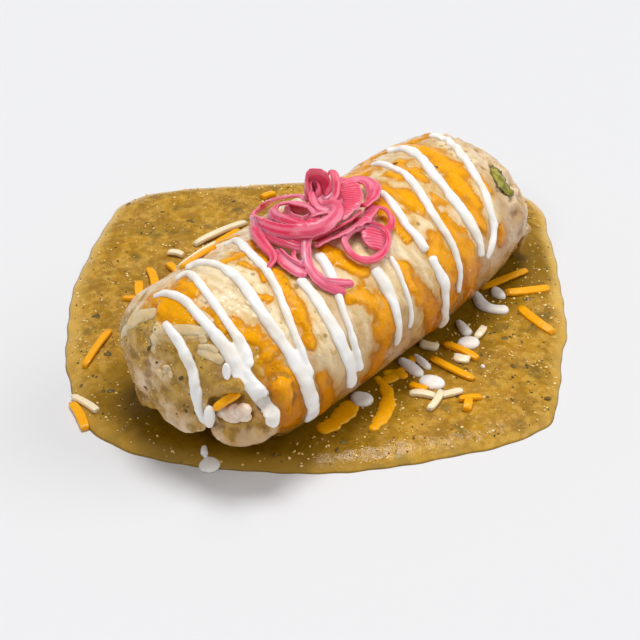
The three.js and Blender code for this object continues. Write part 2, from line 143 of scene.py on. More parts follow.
def curve_points(route, unit, count, closed=False, dimensions=2):
    """count points evenly spaced on a smooth curve through a route of [a, b, value...].

    Distances along b are measured in units. The curve's length is given too.
    """
    knots = np.array(route, float)
    knots[:, 1] *= unit
    n = len(knots)
    if closed:
        padded = np.vstack([knots[-1], knots, knots[0], knots[1]])
        spans = n
    else:
        padded = np.vstack([2 * knots[0] - knots[1], knots, 2 * knots[-1] - knots[-2]])
        spans = n - 1
    fine = []
    for i in range(spans):
        p0, p1, p2, p3 = padded[i:i + 4]
        for t in np.linspace(0, 1, SPAN_STEPS, endpoint=False):
            fine.append(0.5 * (2 * p1 + (p2 - p0) * t + (2 * p0 - 5 * p1 + 4 * p2 - p3) * t ** 2
                               + (3 * p1 - p0 - 3 * p2 + p3) * t ** 3))
    fine.append(padded[1 + spans])
    fine = np.array(fine)
    step = np.linalg.norm(np.diff(fine[:, :dimensions], axis=0), axis=1)
    length = np.concatenate([[0], np.cumsum(step)])
    wanted = np.linspace(0, length[-1], count, endpoint=not closed)
    points = np.stack([np.interp(wanted, length, fine[:, k]) for k in range(fine.shape[1])], -1)
    points[:, 1] /= unit
    return points, length[-1]


# ------------------------ form of the roll
def along(values, u):
    """A value that is near, middle and far at 0, a half and 1 along the roll."""
    near, middle, far = values
    return near * (1 - u) * (1 - 2 * u) + middle * 4 * u * (1 - u) + far * u * (2 * u - 1)


def end_round(distance, length):
    """Share of the roll's full width at a distance from an end that is rounded over length."""
    inside = np.clip(distance / length, 0, 1)
    return (1 - (1 - inside) ** END_SQUARENESS) ** (1 / END_SQUARENESS)


def both_ends(u):
    """Share of the roll's full width at u along it."""
    return end_round(u * LENGTH, END_ROUND[0]) * end_round((1 - u) * LENGTH, END_ROUND[1])


def sideways(u):
    """How far the roll's bow carries its middle line sideways at u along it."""
    return BOW * 4 * u * (1 - u)


def half_tall(u):
    """Half the roll's height at u along it, with the part that sags below the floor."""
    return (along(HEIGHT, u) + SAG) / 2


def roll_point(x, degrees):
    """Places on the plain roll: x along it, degrees round it from its -Y side over its top."""
    x = np.asarray(x, float)
    angle = np.radians(degrees)
    u = np.clip(x / LENGTH + 0.5, 0, 1)
    cap = both_ends(u)
    half_height = half_tall(u)
    y = sideways(u) - np.cos(angle) * along(HALF_WIDTH, u) * cap
    z = half_height - SAG + np.sin(angle) * half_height * cap
    return np.stack([x + 0 * y, y, np.maximum(z, 0) + POOL_FILM], -1) + ROLL_AT


def roll_up(x, degrees):
    """Directions straight out of the plain roll."""
    lengthways = roll_point(x + 0.5, degrees) - roll_point(x - 0.5, degrees)
    around = roll_point(x, degrees + 1.0) - roll_point(x, degrees - 1.0)
    return unit(np.cross(lengthways, around))


def roll_coordinates(points):
    """The x and degrees of points near the roll."""
    local = points - ROLL_AT
    x = np.clip(local[:, 0], -LENGTH / 2, LENGTH / 2)
    u = x / LENGTH + 0.5
    half_height = half_tall(u)
    y = (local[:, 1] - sideways(u)) / along(HALF_WIDTH, u)
    z = (local[:, 2] - POOL_FILM - half_height + SAG) / half_height
    degrees = np.degrees(np.arctan2(z, -y))
    return x, np.where(degrees < -90, degrees + 360, degrees)


# ------------------------ lines of sight
# The camera's place from the roll's middle in millimetres, its angles in degrees and its lens.
CAMERA_FROM_ROLL = (-522.9, -412.9, 486.7)
CAMERA_HEADING = 38.774
CAMERA_PITCH = 35.775
CAMERA_ROLL = 0.129
CAMERA_LENS = 103.55
SENSOR = 36
FRAME = 640
# Distances from the camera at which a line of sight is tried, and halvings of the last step.
SIGHT_STEPS = np.arange(660.0, 960.0, 2.0)
SIGHT_HALVINGS = 12
SIGHT_REACH = 2000


def camera_axes():
    """The camera's right, up and forward directions."""
    heading, pitch, roll = np.radians([CAMERA_HEADING, CAMERA_PITCH, CAMERA_ROLL])
    level = np.array([np.sin(heading), -np.cos(heading), 0.0])
    ahead = np.array([np.cos(heading), np.sin(heading), 0.0])
    forward = ahead * np.cos(pitch) - np.array([0.0, 0.0, np.sin(pitch)])
    upright = np.cross(level, forward)
    right = level * np.cos(roll) + upright * np.sin(roll)
    return right, upright * np.cos(roll) - level * np.sin(roll), forward


def sight_lines(rows):
    """The camera's eye, and its directions to rows of [across, down...] in its frame."""
    right, up, forward = camera_axes()
    scale = CAMERA_LENS / SENSOR * FRAME
    across = rows[:, :1] - FRAME / 2
    down = rows[:, 1:2] - FRAME / 2
    return np.array(CAMERA_FROM_ROLL) + ROLL_AT, forward + (across * right - down * up) / scale


def seen_on_roll(route):
    """Turns [across, down, lift...] in the camera's frame into [x, degrees, lift...] on the roll."""
    rows = np.array(route, float)
    eye, sights = sight_lines(rows)

    def height_at(distance):
        points = eye + sights * distance[:, None]
        x, degrees = roll_coordinates(points)
        return np.sum((points - roll_point(x, degrees)) * roll_up(x, degrees), axis=1), x, degrees

    heights = np.array([height_at(np.full(len(rows), step))[0] for step in SIGHT_STEPS])
    reached = heights <= rows[:, 2]
    first = np.where(reached.any(axis=0), np.argmax(reached, axis=0), np.argmin(heights, axis=0))
    near = SIGHT_STEPS[np.maximum(first - 1, 0)]
    far = SIGHT_STEPS[first]
    for _ in range(SIGHT_HALVINGS):
        middle = (near + far) / 2
        above = height_at(middle)[0] > rows[:, 2]
        near = np.where(above, middle, near)
        far = np.where(above, far, middle)
    x, degrees = height_at(far)[1:]
    return np.column_stack([x, degrees, rows[:, 2:]])


def sighted(rows, tree):
    """Where the camera sees places given as [across, down, value...]: rows of point, up and values."""
    rows = np.array(rows, float)
    eye, sights = sight_lines(rows)
    found = []
    for sight, values in zip(sights, rows[:, 2:]):
        hit, normal = tree.ray_cast(Vector(eye), Vector(sight).normalized(), SIGHT_REACH)[:2]
        if hit is not None:
            outward = 1 if np.dot(normal, sight) < 0 else -1
            found.append((*hit, *(outward * normal), *values))
    return np.array(found)


# ------------------------ form of the puddle
NOT_UNDER = 99.0


def outline_reach(outline, middle, count):
    """An outline's directions and distances from its middle, in order round it."""
    ring = curve_points(outline, 1.0, count, True)[0] - np.array(middle)
    turn = np.arctan2(ring[:, 1], ring[:, 0])
    order = np.argsort(turn)
    return turn[order], np.hypot(ring[:, 0], ring[:, 1])[order]


OUTLINE_TURNS, OUTLINE_REACHES = outline_reach(POOL_OUTLINE, POOL_MIDDLE, 720)


def pool_reach(turn):
    """Distance from the puddle's middle to its rippled outline, in a direction in radians."""
    wrapped = (turn + np.pi) % (2 * np.pi) - np.pi
    ripple = 1 + 0.0035 * np.sin(19 * wrapped + 1) * np.sin(4 * wrapped) + 0.002 * np.sin(47 * wrapped)
    return ripple * np.interp(wrapped, OUTLINE_TURNS, OUTLINE_REACHES, period=2 * np.pi)


def pool_inside(points):
    """How far points lie inside the puddle's outline."""
    local = points[:, :2] - ROLL_AT[:2] - np.array(POOL_MIDDLE)
    return pool_reach(np.arctan2(local[:, 1], local[:, 0])) - np.hypot(local[:, 0], local[:, 1])


def under_roll(points):
    """Height of the roll's underside above points on the floor, and a large value beside it."""
    local = points[:, :2] - ROLL_AT[:2]
    u = np.clip(local[:, 0] / LENGTH + 0.5, 0, 1)
    cap = both_ends(u)
    half_height = half_tall(u)
    side = (local[:, 1] - sideways(u)) / np.maximum(along(HALF_WIDTH, u) * cap, 1e-6)
    below = half_height - SAG - half_height * cap * np.sqrt(np.clip(1 - side ** 2, 0, 1))
    outside = (np.abs(side) >= 1) | (np.abs(local[:, 0]) >= LENGTH / 2)
    return np.where(outside, NOT_UNDER, np.maximum(below, 0) + POOL_FILM)


def pool_height(points):
    """Height of the salsa's surface, with its rounded edge and its pulp."""
    inside = np.maximum(pool_inside(points), 0)
    flat = np.stack([points[:, 0], points[:, 1], 0 * inside], -1)
    edge = 1 - (1 - np.clip(inside / POOL_EDGE, 0, 1)) ** POOL_EDGE_ROUND
    pulp = 0.12 * layered_noise(flat, 14, 31, 2) + 0.10 * value_noise(flat, 3.4, 37)
    ridge = 0.07 * value_noise(flat, 1.6, 41)
    return np.maximum(POOL_DEPTH * edge + (pulp + ridge) * smoothstep(0.5, 7, inside), 0.05)


# ------------------------ meshes
def deselect():
    bpy.ops.object.select_all(action="DESELECT")


def active():
    return bpy.context.view_layer.objects.active


def select_only(piece):
    deselect()
    piece.select_set(True)
    bpy.context.view_layer.objects.active = piece


def place_in_mesh(piece):
    """Moves the object's place into its mesh."""
    select_only(piece)
    bpy.ops.object.transform_apply(location=True, rotation=True, scale=True)


def get_points(piece):
    """A piece's vertices, in millimetres."""
    points = np.empty(len(piece.data.vertices) * 3)
    piece.data.vertices.foreach_get("co", points)
    return points.reshape(-1, 3) / MM


def primitive_points(piece):
    """The vertices of a new primitive in its own units, before it has a size."""
    return get_points(piece) * MM


def set_points(piece, points):
    piece.data.vertices.foreach_set("co", (points * MM).ravel())
    piece.data.update()


def get_normals(piece):
    normals = np.empty(len(piece.data.vertices) * 3)
    piece.data.vertex_normals.foreach_get("vector", normals)
    return normals.reshape(-1, 3)


def set_mask(piece, name, values):
    """Stores a value at each vertex, which the materials read."""
    attribute = piece.data.attributes.get(name)
    if attribute is None:
        attribute = piece.data.attributes.new(name, "FLOAT", "POINT")
    attribute.data.foreach_set("value", np.asarray(values, float))


def join(name, pieces):
    """One mesh of several pieces."""
    deselect()
    for piece in pieces:
        piece.select_set(True)
    bpy.context.view_layer.objects.active = pieces[0]
    if len(pieces) > 1:
        bpy.ops.object.join()
    whole = active()
    whole.name = name
    whole.data.name = name
    return whole


def apply_modifier(piece, kind, **values):
    select_only(piece)
    modifier = piece.modifiers.new(kind.title(), kind)
    for key, value in values.items():
        setattr(modifier, key, value)
    bpy.ops.object.modifier_apply(modifier=modifier.name)


def fuse(piece, voxel, smoothing):
    """Fuses overlapping closed shapes into one skin and softens where they meet."""
    apply_modifier(piece, "REMESH", mode="VOXEL", voxel_size=voxel * MM, use_smooth_shade=True)
    if smoothing:
        apply_modifier(piece, "SMOOTH", factor=0.5, iterations=smoothing)


def smooth_shade(piece):
    select_only(piece)
    bpy.ops.object.shade_smooth()


def lump(name, centre, radii, turn, tip):
    """A rounded lump, placed from the roll's middle on the floor."""
    piece = ball(24, 16)[0]
    piece.name = name
    piece.scale = [radius * MM for radius in radii]
    piece.rotation_euler = (0, math.radians(tip), math.radians(turn))
    piece.location = (np.array(centre) + ROLL_AT) * MM
    place_in_mesh(piece)
    return piece


def surface_tree(pieces):
    """A search tree of the outer surfaces of pieces, in millimetres."""
    vertices = []
    faces = []
    for piece in pieces:
        start = len(vertices)
        vertices.extend(get_points(piece).tolist())
        faces.extend([start + i for i in polygon.vertices] for polygon in piece.data.polygons)
    return BVHTree.FromPolygons(vertices, faces)


# How high above its place a point starts when it is let down onto a surface.
DROP_HEIGHT = 14.0


def drop_on(tree, points, up):
    """Points moved along -up onto the surface that the tree holds."""
    landed = points.copy()
    for i, (point, direction) in enumerate(zip(points, up)):
        start = Vector(point + direction * DROP_HEIGHT)
        hit = tree.ray_cast(start, Vector(-direction), 3 * DROP_HEIGHT)[0]
        if hit is not None:
            landed[i] = hit
    return landed


def ball(segments, rings):
    """A new ball, the share of the way from its bottom to its top, and its vertices."""
    deselect()
    bpy.ops.mesh.primitive_uv_sphere_add(segments=segments, ring_count=rings, radius=1)
    piece = active()
    points = primitive_points(piece)
    return piece, np.arccos(np.clip(-points[:, 2], -1, 1)) / np.pi, points


def long_ball(segments, rings):
    """A ball whose rings will be spread along a route, and the ring and turn of each vertex."""
    piece, spread, points = ball(segments, rings)
    return piece, spread, np.arctan2(points[:, 1], points[:, 0])


def sampled(rows, spread):
    """Rows of values read at places from 0 to 1 along them."""
    at = spread * (len(rows) - 1)
    low = np.clip(np.floor(at).astype(int), 0, len(rows) - 2)
    part = (at - low)[:, None]
    return rows[low] * (1 - part) + rows[low + 1] * part


# Spacing of seen routes and of a bead's rings, and how far a bead leaves its even level.
SEEN_SPACING = 1.6
BEAD_SPACING = 0.9
BEAD_RISE = 1.2
BEAD_SINK = 0.7


def sight_frames(route, tree):
    """Points, up, side and widths of a route of [across, down, width], laid where it is seen."""
    length = curve_points(route, 1.0, 50)[1]
    path = curve_points(route, 1.0, max(12, int(length / SEEN_SPACING)))[0]
    rows = running_mean(sighted(path, tree), 9)
    points = rows[:, :3]
    up = unit(rows[:, 3:6])
    side = unit(np.cross(unit(np.gradient(points, axis=0)), up))
    length = np.linalg.norm(np.diff(points, axis=0), axis=1).sum()
    return points, up, side, rows[:, 6:], length


def route_frames(route, on_roll, closed=False, spacing=0.8):
    """Points, up, side and the further values of a route on the roll or on the salsa."""
    measure = MM_PER_DEGREE if on_roll else 1.0
    length = curve_points(route, measure, 50, closed)[1]
    path, length = curve_points(route, measure, max(12, int(length / spacing)), closed)
    if on_roll:
        points = roll_point(path[:, 0], path[:, 1])
        up = roll_up(path[:, 0], path[:, 1])
    else:
        points = np.stack([path[:, 0], path[:, 1], 0 * path[:, 0]], -1) + ROLL_AT
        points[:, 2] = pool_height(points)
        up = np.tile([0.0, 0.0, 1.0], (len(points), 1))
    if closed:
        forward = np.roll(points, -1, axis=0) - np.roll(points, 1, axis=0)
    else:
        forward = np.gradient(points, axis=0)
    side = unit(np.cross(unit(forward), up))
    return points, up, side, path[:, 2:], length


def settled(fallen, spread, rings):
    """How far a bead sinks along itself: it follows what is below it, but bridges narrow hollows."""
    ring = np.round(spread * rings).astype(int)
    level = np.array([np.median(fallen[ring == k]) for k in range(rings + 1)])
    around = np.pad(level, 3, mode="edge")
    lifted = np.array([np.sort(around[k:k + 7])[1:4].mean() for k in range(rings + 1)])
    lifted = running_mean(lifted[:, None], 5)[:, 0]
    return np.clip(fallen, lifted[ring] - BEAD_RISE, lifted[ring] + BEAD_SINK)


def bead(name, route, on_roll, tree, height, seed, sink=0.7, uneven=1.0):
    """A soft bead laid along a route on the roll, on the salsa, or, for "SEEN", where it is seen.

    The route's third values are its widths. Without a tree it isn't let down onto anything.
    """
    if on_roll == "SEEN":
        points, up, side, values, length = sight_frames(route, tree)
    else:
        points, up, side, values, length = route_frames(route, on_roll)
    rings = max(16, int(length / BEAD_SPACING))
    piece, spread, turn = long_ball(14, rings)
    centre = sampled(points, spread)
    ups = sampled(up, spread)
    sides = sampled(side, spread)
    width = sampled(values[:, :1], spread)[:, 0]
    wobble = np.stack([spread * length, 0 * spread, 0 * spread + seed * 9.7], -1)
    swell = 0.13 * value_noise(wobble, 6, seed) + 0.08 * value_noise(wobble, 2.5, seed)
    width = width * (1 + uneven * swell)
    taper = round_tips(np.minimum(spread, 1 - spread) * length / (width / 2))
    tall = np.minimum(height, 0.55 * width) * (1 + 0.15 * value_noise(wobble, 5, seed + 3))
    across = np.cos(turn) * width / 2 * taper
    base = centre + sides * across[:, None]
    if tree is not None:
        fallen = np.sum((base - drop_on(tree, base, ups)) * ups, axis=1)
        base -= ups * settled(fallen, spread, rings)[:, None]
    rise = np.sin(turn)
    off = np.where(rise > 0, np.abs(rise) ** 0.8 * tall * taper, rise * sink)
    set_points(piece, base + ups * off[:, None])
    piece.name = name
    return piece


def stroke_mask(points, strokes):
    """1 in the middle of strokes of [x, degrees, width], 0 at their edges, and below 0 outside."""
    best = np.full(len(points), -9.0)
    for route in strokes:
        centres, _, _, values, _ = route_frames(route, True, spacing=2.0)
        for centre, radius in zip(centres, values[:, 0] / 2):
            near = np.abs(points[:, 0] - centre[0]) < 4 * radius
            distance = np.linalg.norm(points[near] - centre, axis=1)
            best[near] = np.maximum(best[near], 1 - distance / radius)
    return best


# ------------------------ shader parts
WATERY_IOR = 1.35


def nodes_of(material):
    material.use_nodes = True
    tree = material.node_tree
    tree.nodes.clear()
    return tree


def add(tree, kind, **values):
    """A new node. Values named in_... are set on its sockets, and others on the node."""
    node = tree.nodes.new(kind)
    for key, value in values.items():
        if key.startswith("in_"):
            node.inputs[key[3:].replace("_", " ")].default_value = value
        else:
            setattr(node, key, value)
    return node


def ramp(tree, low, high, source):
    """A mask that rises from 0 to 1 as the source goes from low to high."""
    node = add(tree, "ShaderNodeMapRange", interpolation_type="SMOOTHSTEP", in_From_Min=low,
               in_From_Max=high)
    tree.links.new(source, node.inputs["Value"])
    return node.outputs["Result"]


def blend(tree, factor, first, second, mode="MIX"):
    """A colour mix. first and second are sockets or colours, and factor a socket or number."""
    node = add(tree, "ShaderNodeMix", data_type="RGBA", blend_type=mode)
    for value, socket in ((factor, 0), (first, 6), (second, 7)):
        if hasattr(value, "is_output"):
            tree.links.new(value, node.inputs[socket])
        elif socket == 0:
            node.inputs[0].default_value = value
        else:
            node.inputs[socket].default_value = (*tuple(value)[:3], 1)
    return node.outputs[2]


def maths(tree, operation, first, second=0.0):
    node = add(tree, "ShaderNodeMath", operation=operation)
    for value, socket in ((first, 0), (second, 1)):
        if hasattr(value, "is_output"):
            tree.links.new(value, node.inputs[socket])
        else:
            node.inputs[socket].default_value = value
    return node.outputs[0]


def mask_of(tree, name):
    return add(tree, "ShaderNodeAttribute", attribute_name=name).outputs["Fac"]


def object_place(tree):
    return add(tree, "ShaderNodeTexCoord").outputs["Object"]


def noise_of(tree, place, size, detail):
    noise = add(tree, "ShaderNodeTexNoise", in_Scale=size, in_Detail=detail)
    tree.links.new(place, noise.inputs["Vector"])
    return noise.outputs[0]


def times(tree, mask, share):
    return maths(tree, "MULTIPLY", mask, share)


def over(tree, base, colour, mask, share=None):
    """Lays a colour over a base where a mask shows it, as strongly as share."""
    return blend(tree, mask if share is None else times(tree, mask, share), base, colour)


def shader_group(name, inputs, outputs, build):
    """A node group that is made once. build links its inside."""
    group = bpy.data.node_groups.get(name)
    if group is None:
        group = bpy.data.node_groups.new(name, "ShaderNodeTree")
        for label, kind, value in inputs:
            socket = group.interface.new_socket(label, in_out="INPUT", socket_type=kind)
            if value is not None:
                socket.default_value = value
        for label, kind in outputs:
            group.interface.new_socket(label, in_out="OUTPUT", socket_type=kind)
        start = group.nodes.new("NodeGroupInput")
        end = group.nodes.new("NodeGroupOutput")
        build(group, start.outputs, end.inputs)
    return group


def place_group(tree, group, **values):
    node = add(tree, "ShaderNodeGroup")
    node.node_tree = group
    for key, value in values.items():
        node.inputs[key.replace("_", " ")].default_value = value
    return node.outputs


def scaled_place(tree, per_metre):
    """Object coordinates, times a number that comes in."""
    scale = add(tree, "ShaderNodeVectorMath", operation="SCALE")
    tree.links.new(object_place(tree), scale.inputs[0])
    tree.links.new(per_metre, scale.inputs["Scale"])
    return scale.outputs[0]


def mottle_group():
    """Soft blotches and a finer speckle, from Object coordinates."""
    def build(tree, given, out):
        place = scaled_place(tree, given["Per metre"])
        for label, size, detail, low, high in (
            ("Blotches", 1.0, 3.0, 0.42, 0.62),
            ("Patches", 0.37, 2.0, 0.45, 0.6),
            ("Grain", 5.3, 2.0, 0.35, 0.7),
        ):
            tree.links.new(ramp(tree, low, high, noise_of(tree, place, size, detail)), out[label])

    return shader_group("Mottle", [("Per metre", "NodeSocketFloat", 100.0)],
                        [(label, "NodeSocketFloat") for label in ("Blotches", "Patches", "Grain")],
                        build)


def speck_group():
    """Scattered small spots of uneven size, from Object coordinates."""
    def build(tree, given, out):
        cells = add(tree, "ShaderNodeTexVoronoi", in_Scale=1.0, in_Randomness=1.0)
        tree.links.new(scaled_place(tree, given["Per metre"]), cells.inputs["Vector"])
        pick = add(tree, "ShaderNodeSeparateColor")
        tree.links.new(cells.outputs["Color"], pick.inputs[0])
        reach = times(tree, pick.outputs[0], given["Radius"])
        chosen = maths(tree, "LESS_THAN", pick.outputs[1], given["Share"])
        spot = ramp(tree, 0.0, 0.06, maths(tree, "SUBTRACT", reach, cells.outputs["Distance"]))
        tree.links.new(times(tree, spot, chosen), out["Specks"])

    return shader_group("Specks", [("Per metre", "NodeSocketFloat", 300.0),
                                   ("Radius", "NodeSocketFloat", 0.5),
                                   ("Share", "NodeSocketFloat", 0.5)],
                        [("Specks", "NodeSocketFloat")], build)


def wet_group():
    """Fine unevenness of a wet surface: a normal, and a mask of duller places."""
    def build(tree, given, out):
        place = object_place(tree)
        heights = [times(tree, noise_of(tree, place, size, 2.0), share)
                   for size, share in ((230.0, 1.0), (620.0, 0.5), (1700.0, 0.2))]
        bump = add(tree, "ShaderNodeBump", in_Distance=0.0006)
        tree.links.new(given["Strength"], bump.inputs["Strength"])
        height = maths(tree, "ADD", maths(tree, "ADD", heights[0], heights[1]), heights[2])
        tree.links.new(height, bump.inputs["Height"])
        tree.links.new(bump.outputs[0], out["Normal"])
        tree.links.new(ramp(tree, 0.4, 0.65, noise_of(tree, place, 90.0, 3.0)), out["Dull"])

    return shader_group("Wet surface", [("Strength", "NodeSocketFloat", 0.3)],
                        [("Normal", "NodeSocketVector"), ("Dull", "NodeSocketFloat")], build)


def finish(material, tree, colour, wet, shiny, dull, inside, gloss=0.5):
    """Ends a material in a Principled shader.

    wet is how uneven the gloss is, and the roughness runs from shiny to dull. inside gives the
    share of the light that goes into the surface, how far each colour goes, and a depth in metres.
    """
    share, reach, depth = inside
    shader = add(tree, "ShaderNodeBsdfPrincipled", in_IOR=WATERY_IOR, in_Subsurface_Weight=share,
                 in_Subsurface_Radius=reach, in_Subsurface_Scale=depth, in_Specular_IOR_Level=gloss)
    output = add(tree, "ShaderNodeOutputMaterial")
    tree.links.new(shader.outputs[0], output.inputs["Surface"])
    tree.links.new(colour, shader.inputs["Base Color"])
    surface = place_group(tree, wet_group(), Strength=wet)
    tree.links.new(surface["Normal"], shader.inputs["Normal"])
    rough = add(tree, "ShaderNodeMapRange", in_To_Min=shiny, in_To_Max=dull)
    tree.links.new(surface["Dull"], rough.inputs["Value"])
    tree.links.new(rough.outputs["Result"], shader.inputs["Roughness"])
    return material


def new_material(name):
    material = bpy.data.materials.new(name)
    return material, nodes_of(material)


def dress(piece, material, slot, *nodes):
    piece.data.materials.clear()
    piece.data.materials.append(material)
    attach(piece, "root")
    if nodes:
        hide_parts(*nodes)


def colours():
    return bpy.context.scene.burrito_colours


def sizes():
    return bpy.context.scene.burrito_sizes


# ------------------------ materials
# The inputs of the roll's colour: each with the colour setting or the mask that feeds it.
ROLL_COLOURS = {
    "Tortilla": "tortilla", "Tortilla deep": "tortilla_deep", "Film": "glaze",
    "Film deep": "glaze_deep", "Film light": "salsa_light", "Jack": "jack", "Jack deep": "jack_deep",
    "Oil": "oil", "Cheddar": "cheddar", "Cheddar deep": "cheddar_deep",
    "Cheddar light": "cheddar_light",
}
ROLL_MASKS = {"Soaked": "soaked", "Jack mask": "jack", "Cheddar mask": "cheddar"}


def roll_colour_group():
    """Colour of the roll's surface: tortilla, salsa film, melted white cheese, melted cheddar with a
    painted yellow highlight.

    The Cheddar, Jack and Soaked masks are 0 along the edge of each and rise inside it.
    """
    def build(tree, given, out):
        place = object_place(tree)
        noises = []
        for size, detail, stretch in ((170.0, 3.0, (1, 1, 1)), (520.0, 2.0, (1, 1, 1)),
                                      (230.0, 2.0, (1, 0.3, 0.3)), (60.0, 2.0, (1, 1, 1))):
            mapping = add(tree, "ShaderNodeMapping", in_Scale=stretch)
            tree.links.new(place, mapping.inputs["Vector"])
            noise = noise_of(tree, mapping.outputs[0], size, detail)
            noises.append(maths(tree, "SUBTRACT", noise, 0.5))
        lumps, grain, streaks, broad = noises

        def edge(name, low, high, rough):
            """The mask with its edge broken up by the noise."""
            value = maths(tree, "ADD", given[name], times(tree, lumps, rough))
            value = maths(tree, "ADD", value, times(tree, grain, rough * 0.6))
            return ramp(tree, low, high, value)

        base = over(tree, given["Tortilla"], given["Tortilla deep"], ramp(tree, -0.12, 0.14, broad))
        base = over(tree, base, given["Film"], ramp(tree, 0.0, 0.16, streaks), 0.5)
        film = over(tree, given["Film"], given["Film deep"], ramp(tree, -0.1, 0.12, lumps))
        film = over(tree, film, given["Film light"], ramp(tree, 0.08, 0.2, grain), 0.7)
        base = over(tree, base, film, edge("Soaked", -0.1, 0.5, 1.1), 0.9)
        white = over(tree, given["Jack"], given["Jack deep"], ramp(tree, -0.1, 0.16, streaks))
        white = over(tree, white, given["Film"], ramp(tree, 0.1, 0.2, lumps), 0.5)
        base = over(tree, base, white, edge("Jack mask", -0.25, 0.5, 1.3), 0.92)
        base = over(tree, base, given["Oil"], edge("Cheddar mask", -0.75, 0.1, 1.0), 0.55)
        thick = ramp(tree, 0.05, 0.8, maths(tree, "ADD", given["Cheddar mask"], streaks))
        orange = over(tree, given["Cheddar deep"], given["Cheddar"], thick)
        # Painted highlight: a yellow gloss laid in random specks over the cheddar.
        orange = over(tree, orange, given["Cheddar light"], ramp(tree, 0.06, 0.2, grain), 0.35)
        worn = times(tree, ramp(tree, 0.08, 0.18, lumps), 0.4)
        whole = maths(tree, "SUBTRACT", 1.0, worn)
        base = over(tree, base, orange, edge("Cheddar mask", -0.08, 0.14, 0.7), whole)
        tree.links.new(base, out["Colour"])

    inputs = [(label, "NodeSocketColor", None) for label in ROLL_COLOURS]
    inputs += [(label, "NodeSocketFloat", 0.0) for label in ROLL_MASKS]
    return shader_group("Roll colour", inputs, [("Colour", "NodeSocketColor")], build)


def roll_material(name, dull, shine=0.5):
    """The roll's surface, the same in colour on the tortilla and on the melted cheese over it."""
    material, tree = new_material(name)
    tint = colours()
    node = add(tree, "ShaderNodeGroup")
    node.node_tree = roll_colour_group()
    for label, setting in ROLL_COLOURS.items():
        node.inputs[label].default_value = (*tuple(getattr(tint, setting)), 1)
    for label, mask in ROLL_MASKS.items():
        tree.links.new(mask_of(tree, mask), node.inputs[label])
    freckles = place_group(tree, speck_group(), Per_metre=260.0, Radius=0.4, Share=0.13)
    shown = maths(tree, "SUBTRACT", 0.6, mask_of(tree, "cheddar"))
    freckle = times(tree, freckles["Specks"], ramp(tree, 0.3, 0.9, shown))
    base = over(tree, node.outputs[0], tint.freckle, freckle, 0.6)
    # Salsa in the creases and painted shade there: darker where the valley mask shows a deep crease.
    base = over(tree, base, tint.crevice, ramp(tree, 0.05, 0.4, mask_of(tree, "valley")), 0.6)
    # Painted shade: the roll's sides darken towards its foot, less so at its ends.
    base = blend(tree, mask_of(tree, "low"), base, tint.wet_side, "MULTIPLY")
    return finish(material, tree, base, wet=1.0, shiny=0.06, dull=dull,
                  inside=(0.22, (0.9, 0.5, 0.2), 0.004), gloss=shine)


def shred_material(name, light, deep):
    """Firm cheese with a slightly torn cut face."""
    material, tree = new_material(name)
    mottle = place_group(tree, mottle_group(), Per_metre=400.0)
    base = over(tree, light, deep, mottle["Blotches"])
    return finish(material, tree, base, wet=0.3, shiny=0.2, dull=0.4,
                  inside=(0.3, (1.0, 0.6, 0.25), 0.003))


def crema_material():
    """Sour cream, glossy and very slightly uneven in colour."""
    material, tree = new_material("Crema")
    mottle = place_group(tree, mottle_group(), Per_metre=200.0)
    base = over(tree, colours().crema, colours().crema_shade, mottle["Patches"])
    return finish(material, tree, base, wet=0.12, shiny=0.22, dull=0.34,
                  inside=(0.3, (1.0, 0.85, 0.7), 0.003))


def salsa_material():
    """Cooked tomatillo salsa: mottled pulp, paler where it is thin, with painted shade beside the roll.
    """
    material, tree = new_material("Salsa verde")
    tint = colours()
    broad = place_group(tree, mottle_group(), Per_metre=45.0)
    pulp = place_group(tree, mottle_group(), Per_metre=330.0)
    grit = place_group(tree, speck_group(), Per_metre=420.0, Radius=0.35, Share=0.12)
    blots = noise_of(tree, object_place(tree), 70.0, 2.0)
    base = over(tree, tint.salsa, tint.salsa_pulp, broad["Blotches"])
    base = over(tree, base, tint.salsa_light, pulp["Blotches"], 0.6)
    base = over(tree, base, tint.salsa_deep, pulp["Patches"], 0.45)
    base = over(tree, base, tint.salsa_deep, pulp["Grain"], 0.25)
    base = over(tree, base, tint.herb, ramp(tree, 0.6, 0.7, blots), 0.5)
    # Painted shade: the salsa darkens beside and under the roll.
    base = over(tree, base, tint.salsa_green, mask_of(tree, "near_roll"))
    base = over(tree, base, tint.salsa_edge, mask_of(tree, "thin"))
    base = over(tree, base, tint.herb, grit["Specks"], 0.6)
    return finish(material, tree, base, wet=0.6, shiny=0.12, dull=0.28,
                  inside=(0.15, (1.0, 0.6, 0.1), 0.003), gloss=0.28)


def onion_material():
    """Pickled red onion: flesh with fine veins, pale lips and a deep skin on one edge."""
    material, tree = new_material("Pickled onion")
    tint = colours()
    mottle = place_group(tree, mottle_group(), Per_metre=130.0)
    base = over(tree, tint.onion, tint.onion_light, mottle["Patches"])
    for mask, low, high, colour, share in (
        ("vein", 0.45, 0.95, tint.onion_pale, 0.4),
        ("vein", 0.5, 0.1, tint.onion_rim, 0.45),
        ("rim", 0.72, 0.98, tint.onion_pale, 0.5),
        ("skin", 0.86, 0.99, tint.onion_rim, 0.7),
    ):
        base = over(tree, base, colour, ramp(tree, low, high, mask_of(tree, mask)), share)
    return finish(material, tree, base, wet=0.35, shiny=0.2, dull=0.36,
                  inside=(0.6, (1.0, 0.25, 0.35), 0.003))


def bit_material(name, light, deep, shiny=0.3):
    """A seed, a fleck or a bit of chile: two tones that change within each piece."""
    material, tree = new_material(name)
    mottle = place_group(tree, mottle_group(), Per_metre=700.0)
    base = over(tree, light, deep, mottle["Blotches"])
    return finish(material, tree, base, wet=0.3, shiny=shiny, dull=shiny + 0.2,
                  inside=(0.15, (1.0, 0.7, 0.4), 0.002))


